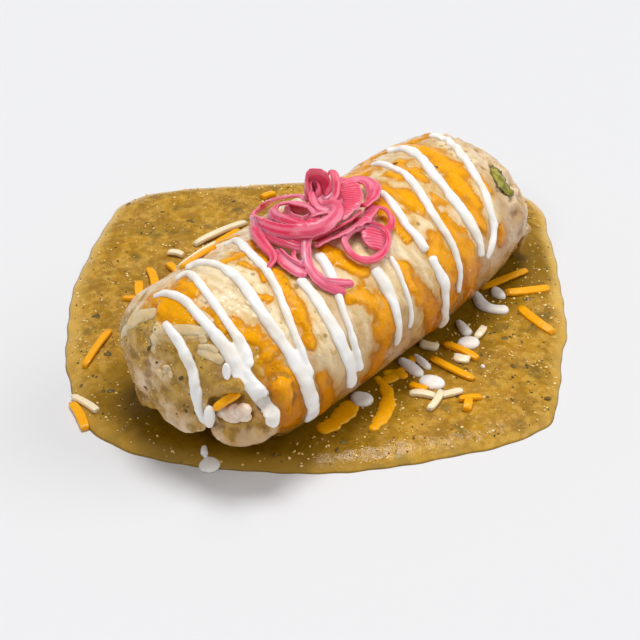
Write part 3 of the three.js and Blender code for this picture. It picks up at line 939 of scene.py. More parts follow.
def leaf_material():
    """Roasted green chile skin: dark at its edges and in patches."""
    material, tree = new_material("Green chile")
    tint = colours()
    mottle = place_group(tree, mottle_group(), Per_metre=260.0)
    base = over(tree, tint.chile, tint.chile_light, mottle["Blotches"])
    base = over(tree, base, tint.herb, mottle["Patches"], 0.5)
    base = over(tree, base, tint.herb, ramp(tree, 0.7, 0.98, mask_of(tree, "rim")), 0.75)
    return finish(material, tree, base, wet=0.6, shiny=0.14, dull=0.3,
                  inside=(0.1, (1.0, 0.8, 0.2), 0.002))


# ------------------------ tortilla roll
# The tucked end is built of layers. The flap's outline and the next layer's are given as
# [y, z] across the end, and the layers below them stop short of it.
FLAP = (
    (11, 56), (9.5, 49), (9.5, 42), (8, 34), (6, 28), (3, 23), (-1, 19.5), (-6, 17.5), (-11, 17.5),
    (-16, 19.5), (-21, 22.5), (-24, 25.5), (-24.6, 31), (-24.2, 37), (-26, 41.5), (-29.5, 44),
    (-33, 45), (-37, 42.5), (-44, 39), (-60, 40), (-60, 95), (30, 95), (17, 66),
)
SECOND_LAYER = (
    (26, 58), (27.5, 50), (27, 41), (25.5, 34), (23, 28), (20.5, 25), (15, 22.5), (9, 21), (2, 22),
    (-8, 30), (-30, 60), (-20, 95), (40, 95), (32, 70),
)
SECOND_BACK = 3.0
ROLL_BACK = 5.5
UNDERCUT = 11.0
POCKET = (-33.0, 36.0)
POCKET_DEPTH = 6.0
ROLL_CORE = np.array((-4.0, 33.0))
FOLD_TIPS = 6
# Soft lumps and hollows: x, degrees, how wide and how high, below 0 for a hollow.
ROLL_DENTS = (
    (97, 104, 13, 1.4), (104, 70, 14, 0.9), (101, 36, 15, -0.2), (98, 10, 10, 0.2),
    (88, 128, 16, 0.7), (44, 140, 24, -1.7), (-92, 150, 16, 1.0), (-88, 178, 14, 2.5),
)


def profile_spread(spread):
    """x for rings that lie evenly along the roll's side, ends included."""
    x = LENGTH / 2 * np.sin(np.linspace(-np.pi / 2, np.pi / 2, 4001))
    u = x / LENGTH + 0.5
    radius = along(HALF_WIDTH, u) * both_ends(u)
    length = np.concatenate([[0], np.cumsum(np.hypot(np.diff(x), np.diff(radius)))])
    return np.interp(spread * length[-1], length, x)


def roll_ball(name):
    """A ball spread over the roll."""
    piece, spread, points = ball(230, 330)
    piece.name = name
    degrees = np.degrees(np.arctan2(points[:, 0], -points[:, 1]))
    set_points(piece, roll_point(profile_spread(spread), degrees))
    return piece


def cut_to_layer(piece, outline, back):
    """Draws what lies outside an outline across the end in to it, so that a layer is left."""
    points = get_points(piece)
    local = points - ROLL_AT
    middle = np.mean(outline, axis=0) * [0.4, 0] + [0, 60]
    turn, reach = outline_reach(outline, middle, 600)
    across = local[:, 1:] - middle
    distance = np.hypot(across[:, 0], across[:, 1])
    limit = np.interp(np.arctan2(across[:, 1], across[:, 0]), turn, reach, period=2 * np.pi)
    over = np.maximum(distance - limit, 0)
    depth = smoothstep(-114, -96, local[:, 0])
    drawn = limit - 1.2 * smoothstep(0, 4, over) - 3.0 * depth * smoothstep(0, 3, over)
    scale = np.where(over > 0, drawn / np.maximum(distance, 1e-6), 1)
    local[:, 1:] = middle + across * scale[:, None]
    local[:, 0] += back + 2.0 * smoothstep(0, 8, over)
    deeper = np.maximum(local[:, 0] + 70, 0)
    local[:, 0] -= deeper * 0.97
    local[:, 1:] += (ROLL_CORE - local[:, 1:]) * (0.3 * smoothstep(0, 12, deeper))[:, None]
    set_points(piece, local + ROLL_AT)


def shorten_roll(piece):
    """Sets the roll's own end back behind its layers, with the pocket and the undercut."""
    points = get_points(piece)
    local = points - ROLL_AT
    near = smoothstep(-72, -104, local[:, 0])
    low = smoothstep(21, 5, local[:, 2])
    pocket = np.exp(-((local[:, 1] - POCKET[0]) ** 2 + (local[:, 2] - POCKET[1]) ** 2) / 90)
    local[:, 0] += near * (ROLL_BACK + UNDERCUT * low + POCKET_DEPTH * pocket)
    set_points(piece, local + ROLL_AT)


def fold(name, path):
    """A soft rounded fold along a path of [x, y, z, radius], from the roll's middle."""
    rows = curve_points(path, 1.0, 80, dimensions=3)[0]
    piece, spread, turn = long_ball(28, 40)
    centre = sampled(rows[:, :3], spread)
    radius = sampled(rows[:, 3:], spread)[:, 0]
    forward = unit(sampled(np.gradient(rows[:, :3], axis=0), spread))
    side = unit(np.cross(forward, [1.0, 0.0, 0.0]))
    out = np.cross(forward, side)
    taper = round_tips(np.minimum(spread, 1 - spread) * FOLD_TIPS)
    ring = side * np.cos(turn)[:, None] + out * np.sin(turn)[:, None]
    set_points(piece, centre + ring * (radius * taper)[:, None] + ROLL_AT)
    piece.name = name
    return piece


# Folds of the tucked end and of the far end: x, y, z and radius along each.
FOLDS = {
    "lower fold": ((-101, -19, 22, 3.2), (-103, -26, 21.8, 4.6), (-102, -33, 22.2, 5.6),
                   (-98.5, -39.5, 25, 5.8), (-93, -43, 30, 5.6), (-89, -44, 38, 5.5), (-87, -42, 48, 5)),
    "lower crease": ((-101, -21, 27, 2.2), (-103, -27, 27.6, 2.6), (-102.5, -33, 28.6, 2.8),
                     (-99.5, -38.5, 31, 2.6), (-95, -41, 35, 2.4)),
    "tucked layer": ((-101.5, 4, 18.5, 2.4), (-102, 10, 16, 3.2), (-101, 17, 14, 3.4),
                     (-98, 24, 14, 3.2), (-94, 29, 17, 3)),
    "side fold": ((-97, 24, 45, 4), (-95, 29, 36, 4.4), (-92.5, 31.5, 27, 4.6), (-89, 32, 18, 4.4)),
    "side crease": ((-99.5, 20, 40, 2), (-99.5, 23.5, 33, 2.4), (-98.5, 24, 26, 2.4), (-96, 22, 20, 2)),
    "pocket layer": ((-98.5, -24.5, 32, 3), (-99.5, -29, 34, 3.8), (-98.5, -34, 37, 4.5),
                     (-96, -38, 40, 4)),
    "pocket layer edge": ((-99.5, -25.5, 41, 1.8), (-101, -30, 44, 2.4), (-99.5, -35, 45, 2.2)),
    "pocket roof": ((-103, -20.5, 37, 2.4), (-103.5, -23.5, 41, 3.2), (-103.5, -28, 45, 3.6),
                    (-102.5, -33.5, 48, 3.6), (-100.5, -38, 48, 2.8)),
    "pocket filling": ((-99, -22, 34, 3.4), (-99.5, -27, 38, 4.4), (-98, -33, 41, 4.4)),
    "lip": ((-110.5, 9, 47, 1.6), (-111, 9, 41, 2.2), (-111, 7.5, 34, 2.4), (-110.6, 5, 28, 2.4),
            (-110, 1, 22.5, 2.4), (-109.5, -5, 20, 2.4), (-109.3, -12, 20, 2.4),
            (-109, -19, 23.5, 2.4), (-108.5, -23, 28, 2.0)),
    "far petal": ((95, -30, 31, 4), (97, -32.5, 26, 5), (98, -34, 19, 5.6), (97, -33.5, 12, 5.2),
                  (94, -29, 7, 4)),
    "far petal middle": ((97, -26, 31, 3.4), (99.5, -30, 25, 5.2), (100, -32, 17.5, 5.6),
                         (98.5, -30.5, 10.5, 4.8), (95, -26, 6.5, 3)),
    "far petal rim": ((99.5, -27, 34, 1.8), (101.5, -32, 29.5, 2.4), (102, -34.8, 22, 3.0),
                      (101.6, -35.6, 15, 3.3), (100, -33, 9.5, 3.0), (98.5, -27, 6.5, 2.4),
                      (97, -21, 5, 1.8)),
    "far ridge": ((96, -6, 50.5, 2.4), (99, -13, 48, 2.8), (100, -20, 43.5, 2.6), (99, -25, 38, 2)),
    "far crease": ((99, 2, 44, 1.6), (102, -4, 40, 2), (103.5, -10, 34, 2), (103, -14, 27, 1.6)),
    "far pleat": ((98, -22, 24, 1.6), (101, -20, 31, 2.2), (101, -24, 38, 1.8)),
}


def crumple(points, normals):
    """Creases and soft dents of a steamed tortilla, stronger at both ends."""
    x = roll_coordinates(points)[0]
    far = smoothstep(64, 92, x)
    near = smoothstep(-66, -96, x)
    bent = points + 3.0 * noise_vectors(points, 14, 90)
    folds = 1 - np.abs(value_noise(bent * [0.35, 1, 1], 10, 5)) * 2
    creases = 1 - np.abs(value_noise(bent * [0.6, 1, 1], 5, 9)) * 2
    wrinkles = np.abs(value_noise(bent * [0.45, 1, 1], 6.5, 15))
    wrinkles += np.abs(value_noise(bent * [1, 0.5, 0.5], 5, 16))
    amount = 0.5 * layered_noise(points, 26, 3, 2)
    amount += far * (1.5 * folds + 0.9 * creases - 3.6)
    amount += near * (0.6 * folds + 0.35 * creases - 1.4)
    for at, turn, wide, high in ROLL_DENTS:
        middle = roll_point(np.array([at], float), np.array([turn], float))[0]
        distance = np.linalg.norm(points - middle, axis=1)
        amount += high * np.exp(-((distance / wide) ** 2))
    amount += (0.25 + near + far) * 0.7 * np.minimum(wrinkles - 0.4, 0.25)
    amount += 0.28 * value_noise(bent, 5.2, 27) + 0.2 * value_noise(points, 2.6, 21)
    floor = smoothstep(POOL_DEPTH - 1, POOL_DEPTH + 8, points[:, 2])
    return points + normals * (amount * floor)[:, None]


# Strokes of [x, degrees, width] where cheese has melted and where salsa soaks the roll.
CHEDDAR_MELTED = (
    ((-91, 118, 11.8), (-95, 102, 19.1), (-97, 88, 15.4), (-94, 83, 9.3)),
    ((-82, 112, 11.8), (-86, 98, 10.6)),
    ((-91, 80, 6.9), (-93, 66, 8.1)),
    ((-87, 69, 6.9), (-88, 57, 8.1)),
    ((-64, 104, 6.9), (-56, 101, 8.1)),
    ((-45, 108, 6.9), (-53, 87, 8.1), (-61, 67, 8.1), (-62, 54, 9.3), (-65, 41, 9.3), (-68, 29, 6.9)),
    ((-60, 95, 4.5), (-60, 86, 4.5), (-62, 77, 4.5)),
    ((-85, 55, 10.6), (-86, 41, 14.2), (-87, 28, 17.9), (-86, 14, 19.1), (-85, -2, 19.1),
     (-84, -16, 15.4)),
    ((-70, 77, 5.7), (-69, 64, 6.9)),
    ((-30, 70, 11.8), (-29, 60, 10.6), (-25, 51, 9.3)),
    ((-68, 10, 8.1), (-66, -10, 10.6), (-62, -28, 13)),
    ((27, 116, 11.8), (34, 113, 10.6), (42, 111, 9.3)),
    ((52, 134, 10), (46, 127, 11), (38, 122, 10)),
    ((-51.2, 85, 3), (-58.6, 71, 3), (-64.4, 56.5, 3), (-68, 43, 3)),
    ((26, 92, 11.8), (26, 82, 14.2), (27, 72, 14.2), (27, 62, 10.6)),
    ((15, 81, 9.3), (14, 72, 10.6), (10, 61, 11.8), (8, 50, 9.3)),
    ((37, 96, 10.6), (37, 88, 9.3)),
    ((49, 99, 9.3), (48, 90, 9.3), (45, 80, 6.9)),
    ((92, 104, 8), (88, 112, 12), (80, 120, 13), (70, 127, 12)),
    ((75, 132, 12), (72, 120, 15), (70, 109, 16.4), (68, 93, 16.7), (66, 82, 16.7), (60, 69, 15.4),
     (56, 58, 14.2), (56, 47, 11.8)),
    ((51, 44, 8.1), (53, 36, 9.3), (53, 28, 6.9)),
    ((72, 57, 6.9), (72, 49, 8.1)),
    ((64, 24, 6.9), (63, 14, 9.3)),
    ((45, 65, 6.9), (42, 68, 6.9), (36, 59, 10.6), (32, 50, 13)),
    ((32, 49, 14.2), (33, 40, 17.9), (33, 29, 19.1), (34, 16, 19.1), (35, 2, 17.9), (34, -16, 14.2)),
    ((15, 42, 13), (17, 31, 16.7), (19, 20, 17.9), (19, 6, 17.9), (17, -6, 15.4), (14, -22, 11.8)),
    ((-5, 39, 9.3), (-5, 27, 11.8), (-1, 12, 11.8), (4, -5, 11.8), (5, -16, 9.3)),
    ((-35, 42, 11.8), (-30, 34, 16.7), (-28, 25, 15.4), (-29, 13, 14.2), (-31, 0, 15.4),
     (-36, -14, 17.9)),
    ((-8, 112, 13), (-20, 128, 11.8)),
    ((-40, 132, 10.6), (-46, 150, 8.1)),
    ((60, 130, 11.8), (52, 148, 10.6)),
    ((10, 140, 11.8), (4, 160, 10.6)),
    ((-70, 150, 9.3), (-74, 170, 8.1)),
    ((34, 150, 10.6), (30, 172, 9.3)),
)
JACK_MELTED = (
    ((-105, 104, 9), (-102, 86, 9), (-97, 73, 7)),
    ((-78, 112, 12), (-78, 97, 15), (-80, 82, 14), (-82, 68, 11)),
    ((-66, 112, 12), (-64, 95, 14), (-67, 80, 13), (-72, 66, 12), (-76, 50, 10)),
    ((-56, 110, 8), (-58, 92, 6)),
    ((-60, 50, 12), (-60, 30, 13), (-61, 10, 12), (-62, -10, 10)),
    ((-34, 50, 14), (-36, 30, 12), (-42, 10, 14), (-46, -10, 12)),
    ((-15, 60, 16), (-14, 40, 14), (-12, 20, 13), (-8, 0, 12), (-6, -16, 10)),
    ((2, 60, 14), (4, 40, 12), (6, 20, 10), (10, 0, 8)),
    ((20, 105, 18), (18, 90, 14), (18, 70, 14), (20, 50, 11)),
    ((38, 104, 14), (36, 88, 14), (38, 74, 12), (36, 60, 8)),
    ((50, 108, 16), (56, 90, 12), (50, 70, 10), (46, 56, 8)),
    ((66, 106, 16), (74, 86, 16), (70, 66, 14), (64, 46, 12), (62, 30, 9)),
    ((80, 92, 16), (82, 74, 12)),
    ((-50, 136, 20), (-20, 140, 24), (10, 132, 24), (40, 134, 24), (66, 128, 20)),
    ((-60, 160, 14), (-20, 168, 16), (20, 160, 18), (50, 165, 14)),
)
SOAKED = (
    ((-104, 90, 24), (-106, 60, 28), (-106, 30, 28), (-104, 10, 22)),
    ((-96, 70, 18), (-98, 40, 20)),
    ((-112, 40, 18), (-111, 10, 20)),
    ((-100, 150, 26), (-98, 180, 28)),
    ((-104, 115, 22), (-102, 135, 24)),
    ((-108, 170, 20), (-109, 120, 20)),
    ((-51, 76, 9), (-53, 72, 12), (-57, 70, 9)),
)


def make_tortilla():
    """The roll, the layers of its tucked end and its folds, fused and creased."""
    body = roll_ball("roll")
    shorten_roll(body)
    flap = roll_ball("flap")
    cut_to_layer(flap, FLAP, 0)
    second = roll_ball("second layer")
    cut_to_layer(second, SECOND_LAYER, SECOND_BACK)
    folds = [fold(name, path) for name, path in FOLDS.items()]
    piece = join("tortilla", [body, flap, second, *folds])
    fuse(piece, sizes().tortilla_grain, 3)
    set_points(piece, crumple(get_points(piece), get_normals(piece)))
    points = get_points(piece)
    points[:, 2] = np.maximum(points[:, 2], POOL_FILM)
    set_points(piece, points)
    smooth_shade(piece)
    return piece


VALLEY_ROUNDS = 10


def valleys(piece):
    """How deep each point lies in a crease, in millimetres, below 0 on a ridge."""
    points = get_points(piece)
    edges = np.empty(len(piece.data.edges) * 2, np.int64)
    piece.data.edges.foreach_get("vertices", edges)
    edges = edges.reshape(-1, 2)
    ends = np.concatenate([edges[:, 0], edges[:, 1]])
    others = np.concatenate([edges[:, 1], edges[:, 0]])
    share = np.maximum(np.bincount(ends, minlength=len(points)), 1)
    smooth = points.copy()
    for _ in range(VALLEY_ROUNDS):
        smooth = np.stack([np.bincount(ends, smooth[others, k], len(points)) for k in range(3)], -1)
        smooth /= share[:, None]
    return np.sum((smooth - points) * get_normals(piece), axis=1)


def paint_roll(piece):
    """Masks of the salsa film, the melted white cheese and the melted cheddar on the tortilla, the depth
    of its creases, and painted shade low on its sides.
    """
    points = get_points(piece)
    x = roll_coordinates(points)[0]
    warp = noise_vectors(points, 7, 71)
    jack = stroke_mask(points + 2.6 * warp, JACK_MELTED) + 0.25 * layered_noise(points, 7, 81)
    jack -= 1.4 * smoothstep(27, 13, points[:, 2] + 6 * value_noise(points, 8, 85))
    cheddar = stroke_mask(points + 2.6 * warp, CHEDDAR_MELTED)
    cheddar += 0.36 * layered_noise(points, 7, 83, 4)
    cheddar -= 0.09
    soaked = np.maximum(stroke_mask(points + 3.0 * warp, SOAKED), -0.7)
    soaked += 0.6 * layered_noise(points, 10, 57)
    soaked += 0.15
    foot = smoothstep(34, 8, points[:, 2] + 8 * value_noise(points, 9, 59)) * 1.6 - 0.6
    # Painted shade low on the roll's sides, weaker towards both ends.
    low = smoothstep(58, 24, points[:, 2] + 5 * layered_noise(points, 12, 87))
    low *= (0.2 + 0.8 * smoothstep(-106, -88, x)) * (0.3 + 0.7 * smoothstep(100, 76, x))
    set_mask(piece, "jack", jack)
    set_mask(piece, "cheddar", cheddar)
    set_mask(piece, "soaked", np.maximum(soaked, foot))
    # How deep each point lies in a crease, which darkens it with salsa and painted shade.
    set_mask(piece, "valley", valleys(piece))
    set_mask(piece, "low", low)
    return jack, cheddar


# A melted sheet ends where its mask falls to its limit, sunk into the roll there.
SHEET_LIMIT = -0.25
SHEET_EDGE_SINK = 0.35
SHEET_WALL = 0.9
CHEDDAR_OVER_JACK = 0.6


def melted_sheet(name, body, mask, thickness, lift):
    """A melted sheet of cheese: the roll's own surface, raised where the mask is above 0."""
    sheet = body.copy()
    sheet.data = body.data.copy()
    bpy.context.collection.objects.link(sheet)
    sheet.name = name
    sheet.data.name = name
    points = get_points(sheet)
    normals = get_normals(sheet)
    rise = thickness * smoothstep(0, 0.55, mask) - SHEET_EDGE_SINK * smoothstep(0.12, SHEET_LIMIT, mask)
    rise += 0.12 * thickness * value_noise(points, 2.6, 77)
    set_points(sheet, points + normals * (rise + lift)[:, None])
    select_only(sheet)
    bpy.ops.object.mode_set(mode="EDIT")
    bpy.ops.mesh.select_mode(type="VERT")
    bpy.ops.mesh.select_all(action="DESELECT")
    bpy.ops.object.mode_set(mode="OBJECT")
    sheet.data.vertices.foreach_set("select", (mask <= SHEET_LIMIT).tolist())
    bpy.ops.object.mode_set(mode="EDIT")
    bpy.ops.mesh.delete(type="VERT")
    bpy.ops.object.mode_set(mode="OBJECT")
    apply_modifier(sheet, "SOLIDIFY", thickness=SHEET_WALL * MM, offset=-1.0, use_even_offset=False)
    smooth_shade(sheet)
    return sheet


# ------------------------ crema
# Stripes on the roll and drops on the salsa, as [x, degrees, width] and [x, y, width].
CREMA_ON_ROLL = (
    ((-101, 101, 3.5), (-104, 85, 5), (-107, 66, 5), (-109, 45, 5.5), (-110, 22, 4.5), (-110, 0, 3.5),
     (-109, -13, 2)),
    ((-92, 122, 1.5), (-90, 112, 3.5), (-91, 97, 4), (-94, 82, 4.5), (-96, 66, 5), (-97, 50, 7),
     (-98, 36, 8), (-96, 20, 7), (-94, 5, 7), (-95, -3, 6)),
    ((-82, 116, 2.5), (-77, 113, 3.5), (-79, 104, 4), (-83, 93, 4), (-89, 71, 4), (-92, 52, 5),
     (-95, 38, 6)),
    ((-72, 122, 4), (-68, 119, 4.5), (-67, 106, 4), (-69, 90, 4.5), (-74, 72, 5), (-77, 58, 5),
     (-78, 40, 5.5), (-77, 24, 7), (-76, 8, 7.5), (-73, -12, 7), (-70, -27, 8)),
    ((-48, 125, 2), (-44, 119, 3.5), (-51, 102, 4.5), (-58, 82, 4), (-63, 68, 3.5), (-70, 48, 3.5),
     (-73, 32, 4), (-74, 14, 5)),
    ((-51, 68, 5), (-52, 54, 5.5), (-54, 38, 6.5), (-54, 20, 6), (-52, 2, 5.5), (-51, -14, 4)),
    ((-34, 75, 4.5), (-36, 65, 5), (-41, 52, 4), (-46, 35, 3.5), (-48, 15, 3.5), (-47, -3, 4)),
    ((-19, 50, 6), (-19, 40, 6), (-20, 28, 5), (-21, 14, 4.5), (-22, 3, 3.5), (-23, -5, 2.5)),
    ((-7, 50, 2.5), (-9, 40, 3), (-11, 27, 2.5), (-12, 12, 2.2), (-14, 1, 1.8)),
    ((21, 87, 3.5), (18, 78, 4), (15, 69, 4.5), (12, 58, 4.5), (12, 47, 5), (11, 39, 4.5)),
    ((12, 36, 4), (12, 26, 5), (13, 14, 5), (12, 0, 4), (13, -10, 4), (17, -22, 6), (20, -30, 7)),
    ((47, 119, 2.5), (44, 106, 4), (42, 92, 4.5), (38, 80, 4.5), (32, 64, 4.5), (28, 50, 4),
     (27, 33, 3.5), (25, 14, 3.5), (23, -1, 2.5)),
)
CREMA_ON_POOL = (
    ((60, -34, 3.7), (57, -39, 5.5), (54, -44, 6.1), (54, -49, 6.7), (58, -56, 7.3)),
    ((68, -40, 3.7), (66, -44, 6.1), (64, -49, 3.7)),
    ((37, -42, 3.0), (34, -47, 4.9), (31, -53, 4.9)),
    ((29, -52, 9.8), (26, -56, 11.0), (23, -59, 8.5)),
    ((-3, -39, 3.7), (-4, -46, 6.1), (-6, -54, 5.5)),
    ((-8, -54, 7.3), (-7, -60, 9.2), (-6, -66, 7.3)),
    ((4, -42, 2.4), (2, -48, 3.7), (0, -54, 3.0)),
    ((-35, -38, 6.1), (-35, -44, 9.8), (-35, -49, 7.3)),
    ((-107.2, -15.6, 9), (-104.3, -19.2, 9.5), (-101.4, -22.8, 9)),
    ((-103, -15.5, 3.6), (-101, -13.5, 3.4), (-99, -12, 2.4)),
    ((15, -70, 3), (17, -71, 3)),
)
# Stripes as [across, down] in the camera's frame, and their width in millimetres.
CREMA_SEEN = (
    ((427, 138, 3), (435, 136.8, 4.2), (443.6, 138.4, 4.6), (450.8, 144.2, 4.8), (458, 152, 5),
     (464, 159.2, 4.6), (471, 170, 4.6), (477.2, 180.8, 5), (483.2, 190.4, 4.6), (486.8, 201.2, 4.6),
     (488.6, 210, 4.4), (491.6, 218, 4.4), (493.4, 230, 4.2), (491.6, 242, 3.6), (488, 254, 3.2),
     (485.6, 261, 2.4)),
    ((384.8, 153.6, 3.4), (395.6, 149.8, 4.2), (407.6, 150.2, 4.8), (416, 154.4, 5.2),
     (424.4, 162.8, 4.8), (434, 176, 5), (443.6, 186.8, 5.6), (452, 197.6, 6), (459.2, 207.2, 6),
     (466.4, 218, 6.2), (472.4, 227.6, 5.8), (477.2, 237.2, 5), (480, 248, 4.6), (480.4, 259, 3.6)),
)
# Lumps in the pocket of the tucked end and by it: their middles, radii, turn and tip.
POCKET_CREMA = (
    ((-110, -25.6, 33), (2.0, 2.4, 5.2), 30, 8), ((-110.2, -35.7, 60.3), (1.3, 1.7, 4.6), 30, -8),
)
POCKET_JACK = (
    ((-104, -29.5, 33.5), (2.6, 3.4, 3.0), 20, 10), ((-103.5, -33.5, 36), (2.8, 3.0, 3.2), 40, 0),
    ((-103, -37.5, 38), (2.6, 3.4, 2.8), 50, 20), ((-104.5, -32, 32.5), (2.2, 4.2, 2.0), 10, 0),
    ((-102.5, -36, 33.5), (2.4, 4.0, 2.0), 40, 0), ((-104, -27, 31.5), (2.0, 2.4, 1.8), 0, 0),
)
# The ends of the shred that lies across the pocket, and the way its broad face looks.
POCKET_SHRED = ((-109, -27.8, 37.2), (-102, -34.8, 44.2))
POCKET_SHRED_UP = (-0.75, 0.0, 0.66)
CREMA_GRAIN = 0.5


def make_crema(tree):
    """The stripes, drops and lumps of crema, fused where they meet."""
    height = sizes().crema_height
    pieces = [bead("stripe", route, True, tree, height, seed)
              for seed, route in enumerate(CREMA_ON_ROLL)]
    pieces += [bead("drop", route, False, None, height * 1.2, 40 + seed)
               for seed, route in enumerate(CREMA_ON_POOL)]
    pieces += [bead("stripe", route, "SEEN", tree, height, 70 + seed)
               for seed, route in enumerate(CREMA_SEEN)]
    pieces += [lump("drop", *values) for values in POCKET_CREMA]
    piece = join("crema", pieces)
    fuse(piece, CREMA_GRAIN, 3)
    smooth_shade(piece)
    return piece


# ------------------------ shreds of cheese
# The two ends of each shred, as [x, y] on the salsa and [x, degrees] on the roll.
CHEDDAR_SHREDS = (
    ((63, -37), (89, -45)), ((67, -48), (85, -60)), ((62, -58), (56, -80)),
    ((19, -48), (19, -66)), ((6, -50), (5, -73)), ((-15, -54), (-14, -62)),
    ((-10, -76), (-2, -82)), ((-7, -79), (-14, -83)), ((-92, 64), (-67, 73)), ((-110, 53), (-119, 36)),
    ((-20, 92), (-33, 76)), ((-12, 89), (-15, 79)), ((-31, 90), (-43, 77)), ((-45, 86), (-38, 76)),
    ((6, 82), (31, 82)), ((60, 92), (67, 90)),
)
JACK_SHREDS = (
    ((31, -57), (40, -55)), ((11, -40), (14, -48)), ((13, -57), (15, -64)),
    ((-19, -57), (-14, -67)), ((-14, -68), (-4, -74)), ((-23, -71), (-10, -68)),
    ((-107, 56), (-110, 38)), ((8, 90), (38, 84)), ((-5, 95), (-2, 88)),
)
CHEDDAR_ON_ROLL = (((-50, 130), (-70, 128)),)
JACK_ON_ROLL = (((-42, 142), (-64, 142)),)
# Softened shreds, as [across, down, width] in the camera's frame.
JACK_SOFTENED = (
    ((156, 332, 2), (166, 330, 4), (178, 329.5, 4.5), (192, 330, 4.5), (205, 331.5, 4), (208, 336, 3)),
    ((200, 333, 3), (203, 339, 3.4), (204, 345, 3)),
    ((196, 348, 2.4), (203, 353, 4), (212, 356, 4.5), (221, 360, 4), (226, 363, 2.5)),
    ((196, 348, 2.4), (204, 347, 3), (213, 349, 3), (220, 354, 2.4)),
    ((121, 340, 3), (124, 332, 4.5), (130, 324, 6), (138, 317, 7), (147, 314, 6), (157, 312, 3)),
    ((243, 300, 3), (252, 303, 5), (262, 309, 5), (270, 316, 3)),
    ((186, 306, 3), (196, 312, 4.5), (206, 319, 4.5), (214, 326, 3)),
)
# Curls at the roll's foot, as [x, y, width].
CHEDDAR_CURLS = (
    ((-19, -38, 4), (-20.5, -43, 5), (-24, -48.7, 6), (-29, -53, 6.4), (-36, -56.7, 6), (-43, -58.5, 5),
     (-49, -59.4, 3)),
    ((-63, -41.5, 6), (-58, -43.8, 8.5), (-51.5, -44, 10), (-45, -43, 8.5), (-38, -41, 6)),
    ((-15, -39, 4), (-11.5, -43.5, 5.5), (-10, -49.5, 4)),
    ((4, -43, 4), (-4, -44.5, 6), (-13, -44, 6), (-20, -43.5, 4)),
)


def shred(start, end, on_roll, tree, seed):
    """A grated shred: a soft-edged stick, slightly bent and tilted, lying on what is below it."""
    rng = np.random.default_rng(seed)
    if len(start) == 3:
        ends = np.array([start, end]) + ROLL_AT
        up = np.array(POCKET_SHRED_UP)
    elif on_roll:
        ends = roll_point(np.array([start[0], end[0]], float), np.array([start[1], end[1]], float))
        middle = ((start[0] + end[0]) / 2, (start[1] + end[1]) / 2)
        up = roll_up(*(np.array([v], float) for v in middle))[0]
        ends = drop_on(tree, ends, np.array([up, up]))
    else:
        ends = np.array([[*start, 0.0], [*end, 0.0]]) + ROLL_AT
        ends[:, 2] = pool_height(ends) + rng.uniform(0.0, 0.7, 2)
        up = np.array([0.0, 0.0, 1.0])
    length = np.linalg.norm(ends[1] - ends[0])
    deselect()
    bpy.ops.mesh.primitive_cube_add(size=1)
    piece = active()
    bpy.ops.object.mode_set(mode="EDIT")
    bpy.ops.mesh.subdivide(number_cuts=9)
    bpy.ops.object.mode_set(mode="OBJECT")
    box = primitive_points(piece)
    width = sizes().shred_width * rng.uniform(0.8, 1.15)
    thickness = sizes().shred_thickness * rng.uniform(0.8, 1.2)
    t = box[:, 0] * 2
    section = box[:, 1:] * 2
    reach = np.max(np.abs(section), axis=1)
    circle = np.linalg.norm(section, axis=1)
    section *= (1 - 0.45 * (1 - reach / np.maximum(circle, 1e-6)) * reach ** 4)[:, None]
    tip = 1 - 0.35 * np.abs(t) ** 6 * rng.uniform(0.4, 1.3, 2)[(t > 0).astype(int)]
    bend = rng.uniform(-1.0, 1.0)
    arch = rng.uniform(0.0, 0.9)
    points = np.stack([
        box[:, 0] * length,
        section[:, 0] * width / 2 * tip + bend * t ** 2,
        section[:, 1] * thickness / 2 * (0.6 + 0.4 * tip) + (arch * (1 - t ** 2) + thickness * 0.25),
    ], -1)
    points += 0.12 * np.stack([value_noise(points + seed * 50, 1.6, s) for s in (1, 2, 3)], -1)
    forward = (ends[1] - ends[0]) / length
    side = np.cross(up, forward)
    side /= np.linalg.norm(side)
    top = np.cross(forward, side)
    lean = math.radians(rng.uniform(-14, 14))
    axes = np.stack([
        forward,
        side * math.cos(lean) + top * math.sin(lean),
        top * math.cos(lean) - side * math.sin(lean),
    ])
    set_points(piece, points @ axes + (ends[0] + ends[1]) / 2)
    return piece


def make_pocket_cheese():
    """The soft cheese that shows in the pocket of the tucked end."""
    piece = join("pocket_cheese", [lump("lump", *values) for values in POCKET_JACK])
    fuse(piece, 0.45, 3)
    points = get_points(piece)
    torn = 0.3 * layered_noise(points, 3.2, 19, 2)
    torn += 0.2 * (0.5 - np.abs(value_noise(points, 3.0, 23)))
    set_points(piece, points + get_normals(piece) * torn[:, None])
    smooth_shade(piece)
    return piece


def make_shreds(name, on_pool, on_roll, tree, curls=()):
    """Shreds on the salsa and on the roll, with curls on the salsa, one piece."""
    pieces = [shred(a, b, False, tree, 100 + i) for i, (a, b) in enumerate(on_pool)]
    pieces += [shred(a, b, True, tree, 200 + i) for i, (a, b) in enumerate(on_roll)]
    pieces += [bead("curl", route, False, None, height=0.85, seed=300 + i, sink=0.6, uneven=2.6)
               for i, route in enumerate(curls)]
    piece = join(name, pieces)
    smooth_shade(piece)
    return piece


def make_softened_jack(tree):
    """The shreds on the tucked end that have gone soft."""
    pieces = [bead("softened", route, "SEEN", tree, height=0.55, seed=400 + i, sink=0.6)
              for i, route in enumerate(JACK_SOFTENED)]
    piece = join("softened_jack", pieces)
    smooth_shade(piece)
    return piece


# ------------------------ salsa verde
# The sheet's own corners are turned to those of the puddle.
SALSA_TURN = 38.0
SALSA_CUTS = 220
# How far the salsa's surface climbs by the roll, and how far it dips below the roll's skin.
SALSA_CLIMB = 0.9
SALSA_DIP = 0.3


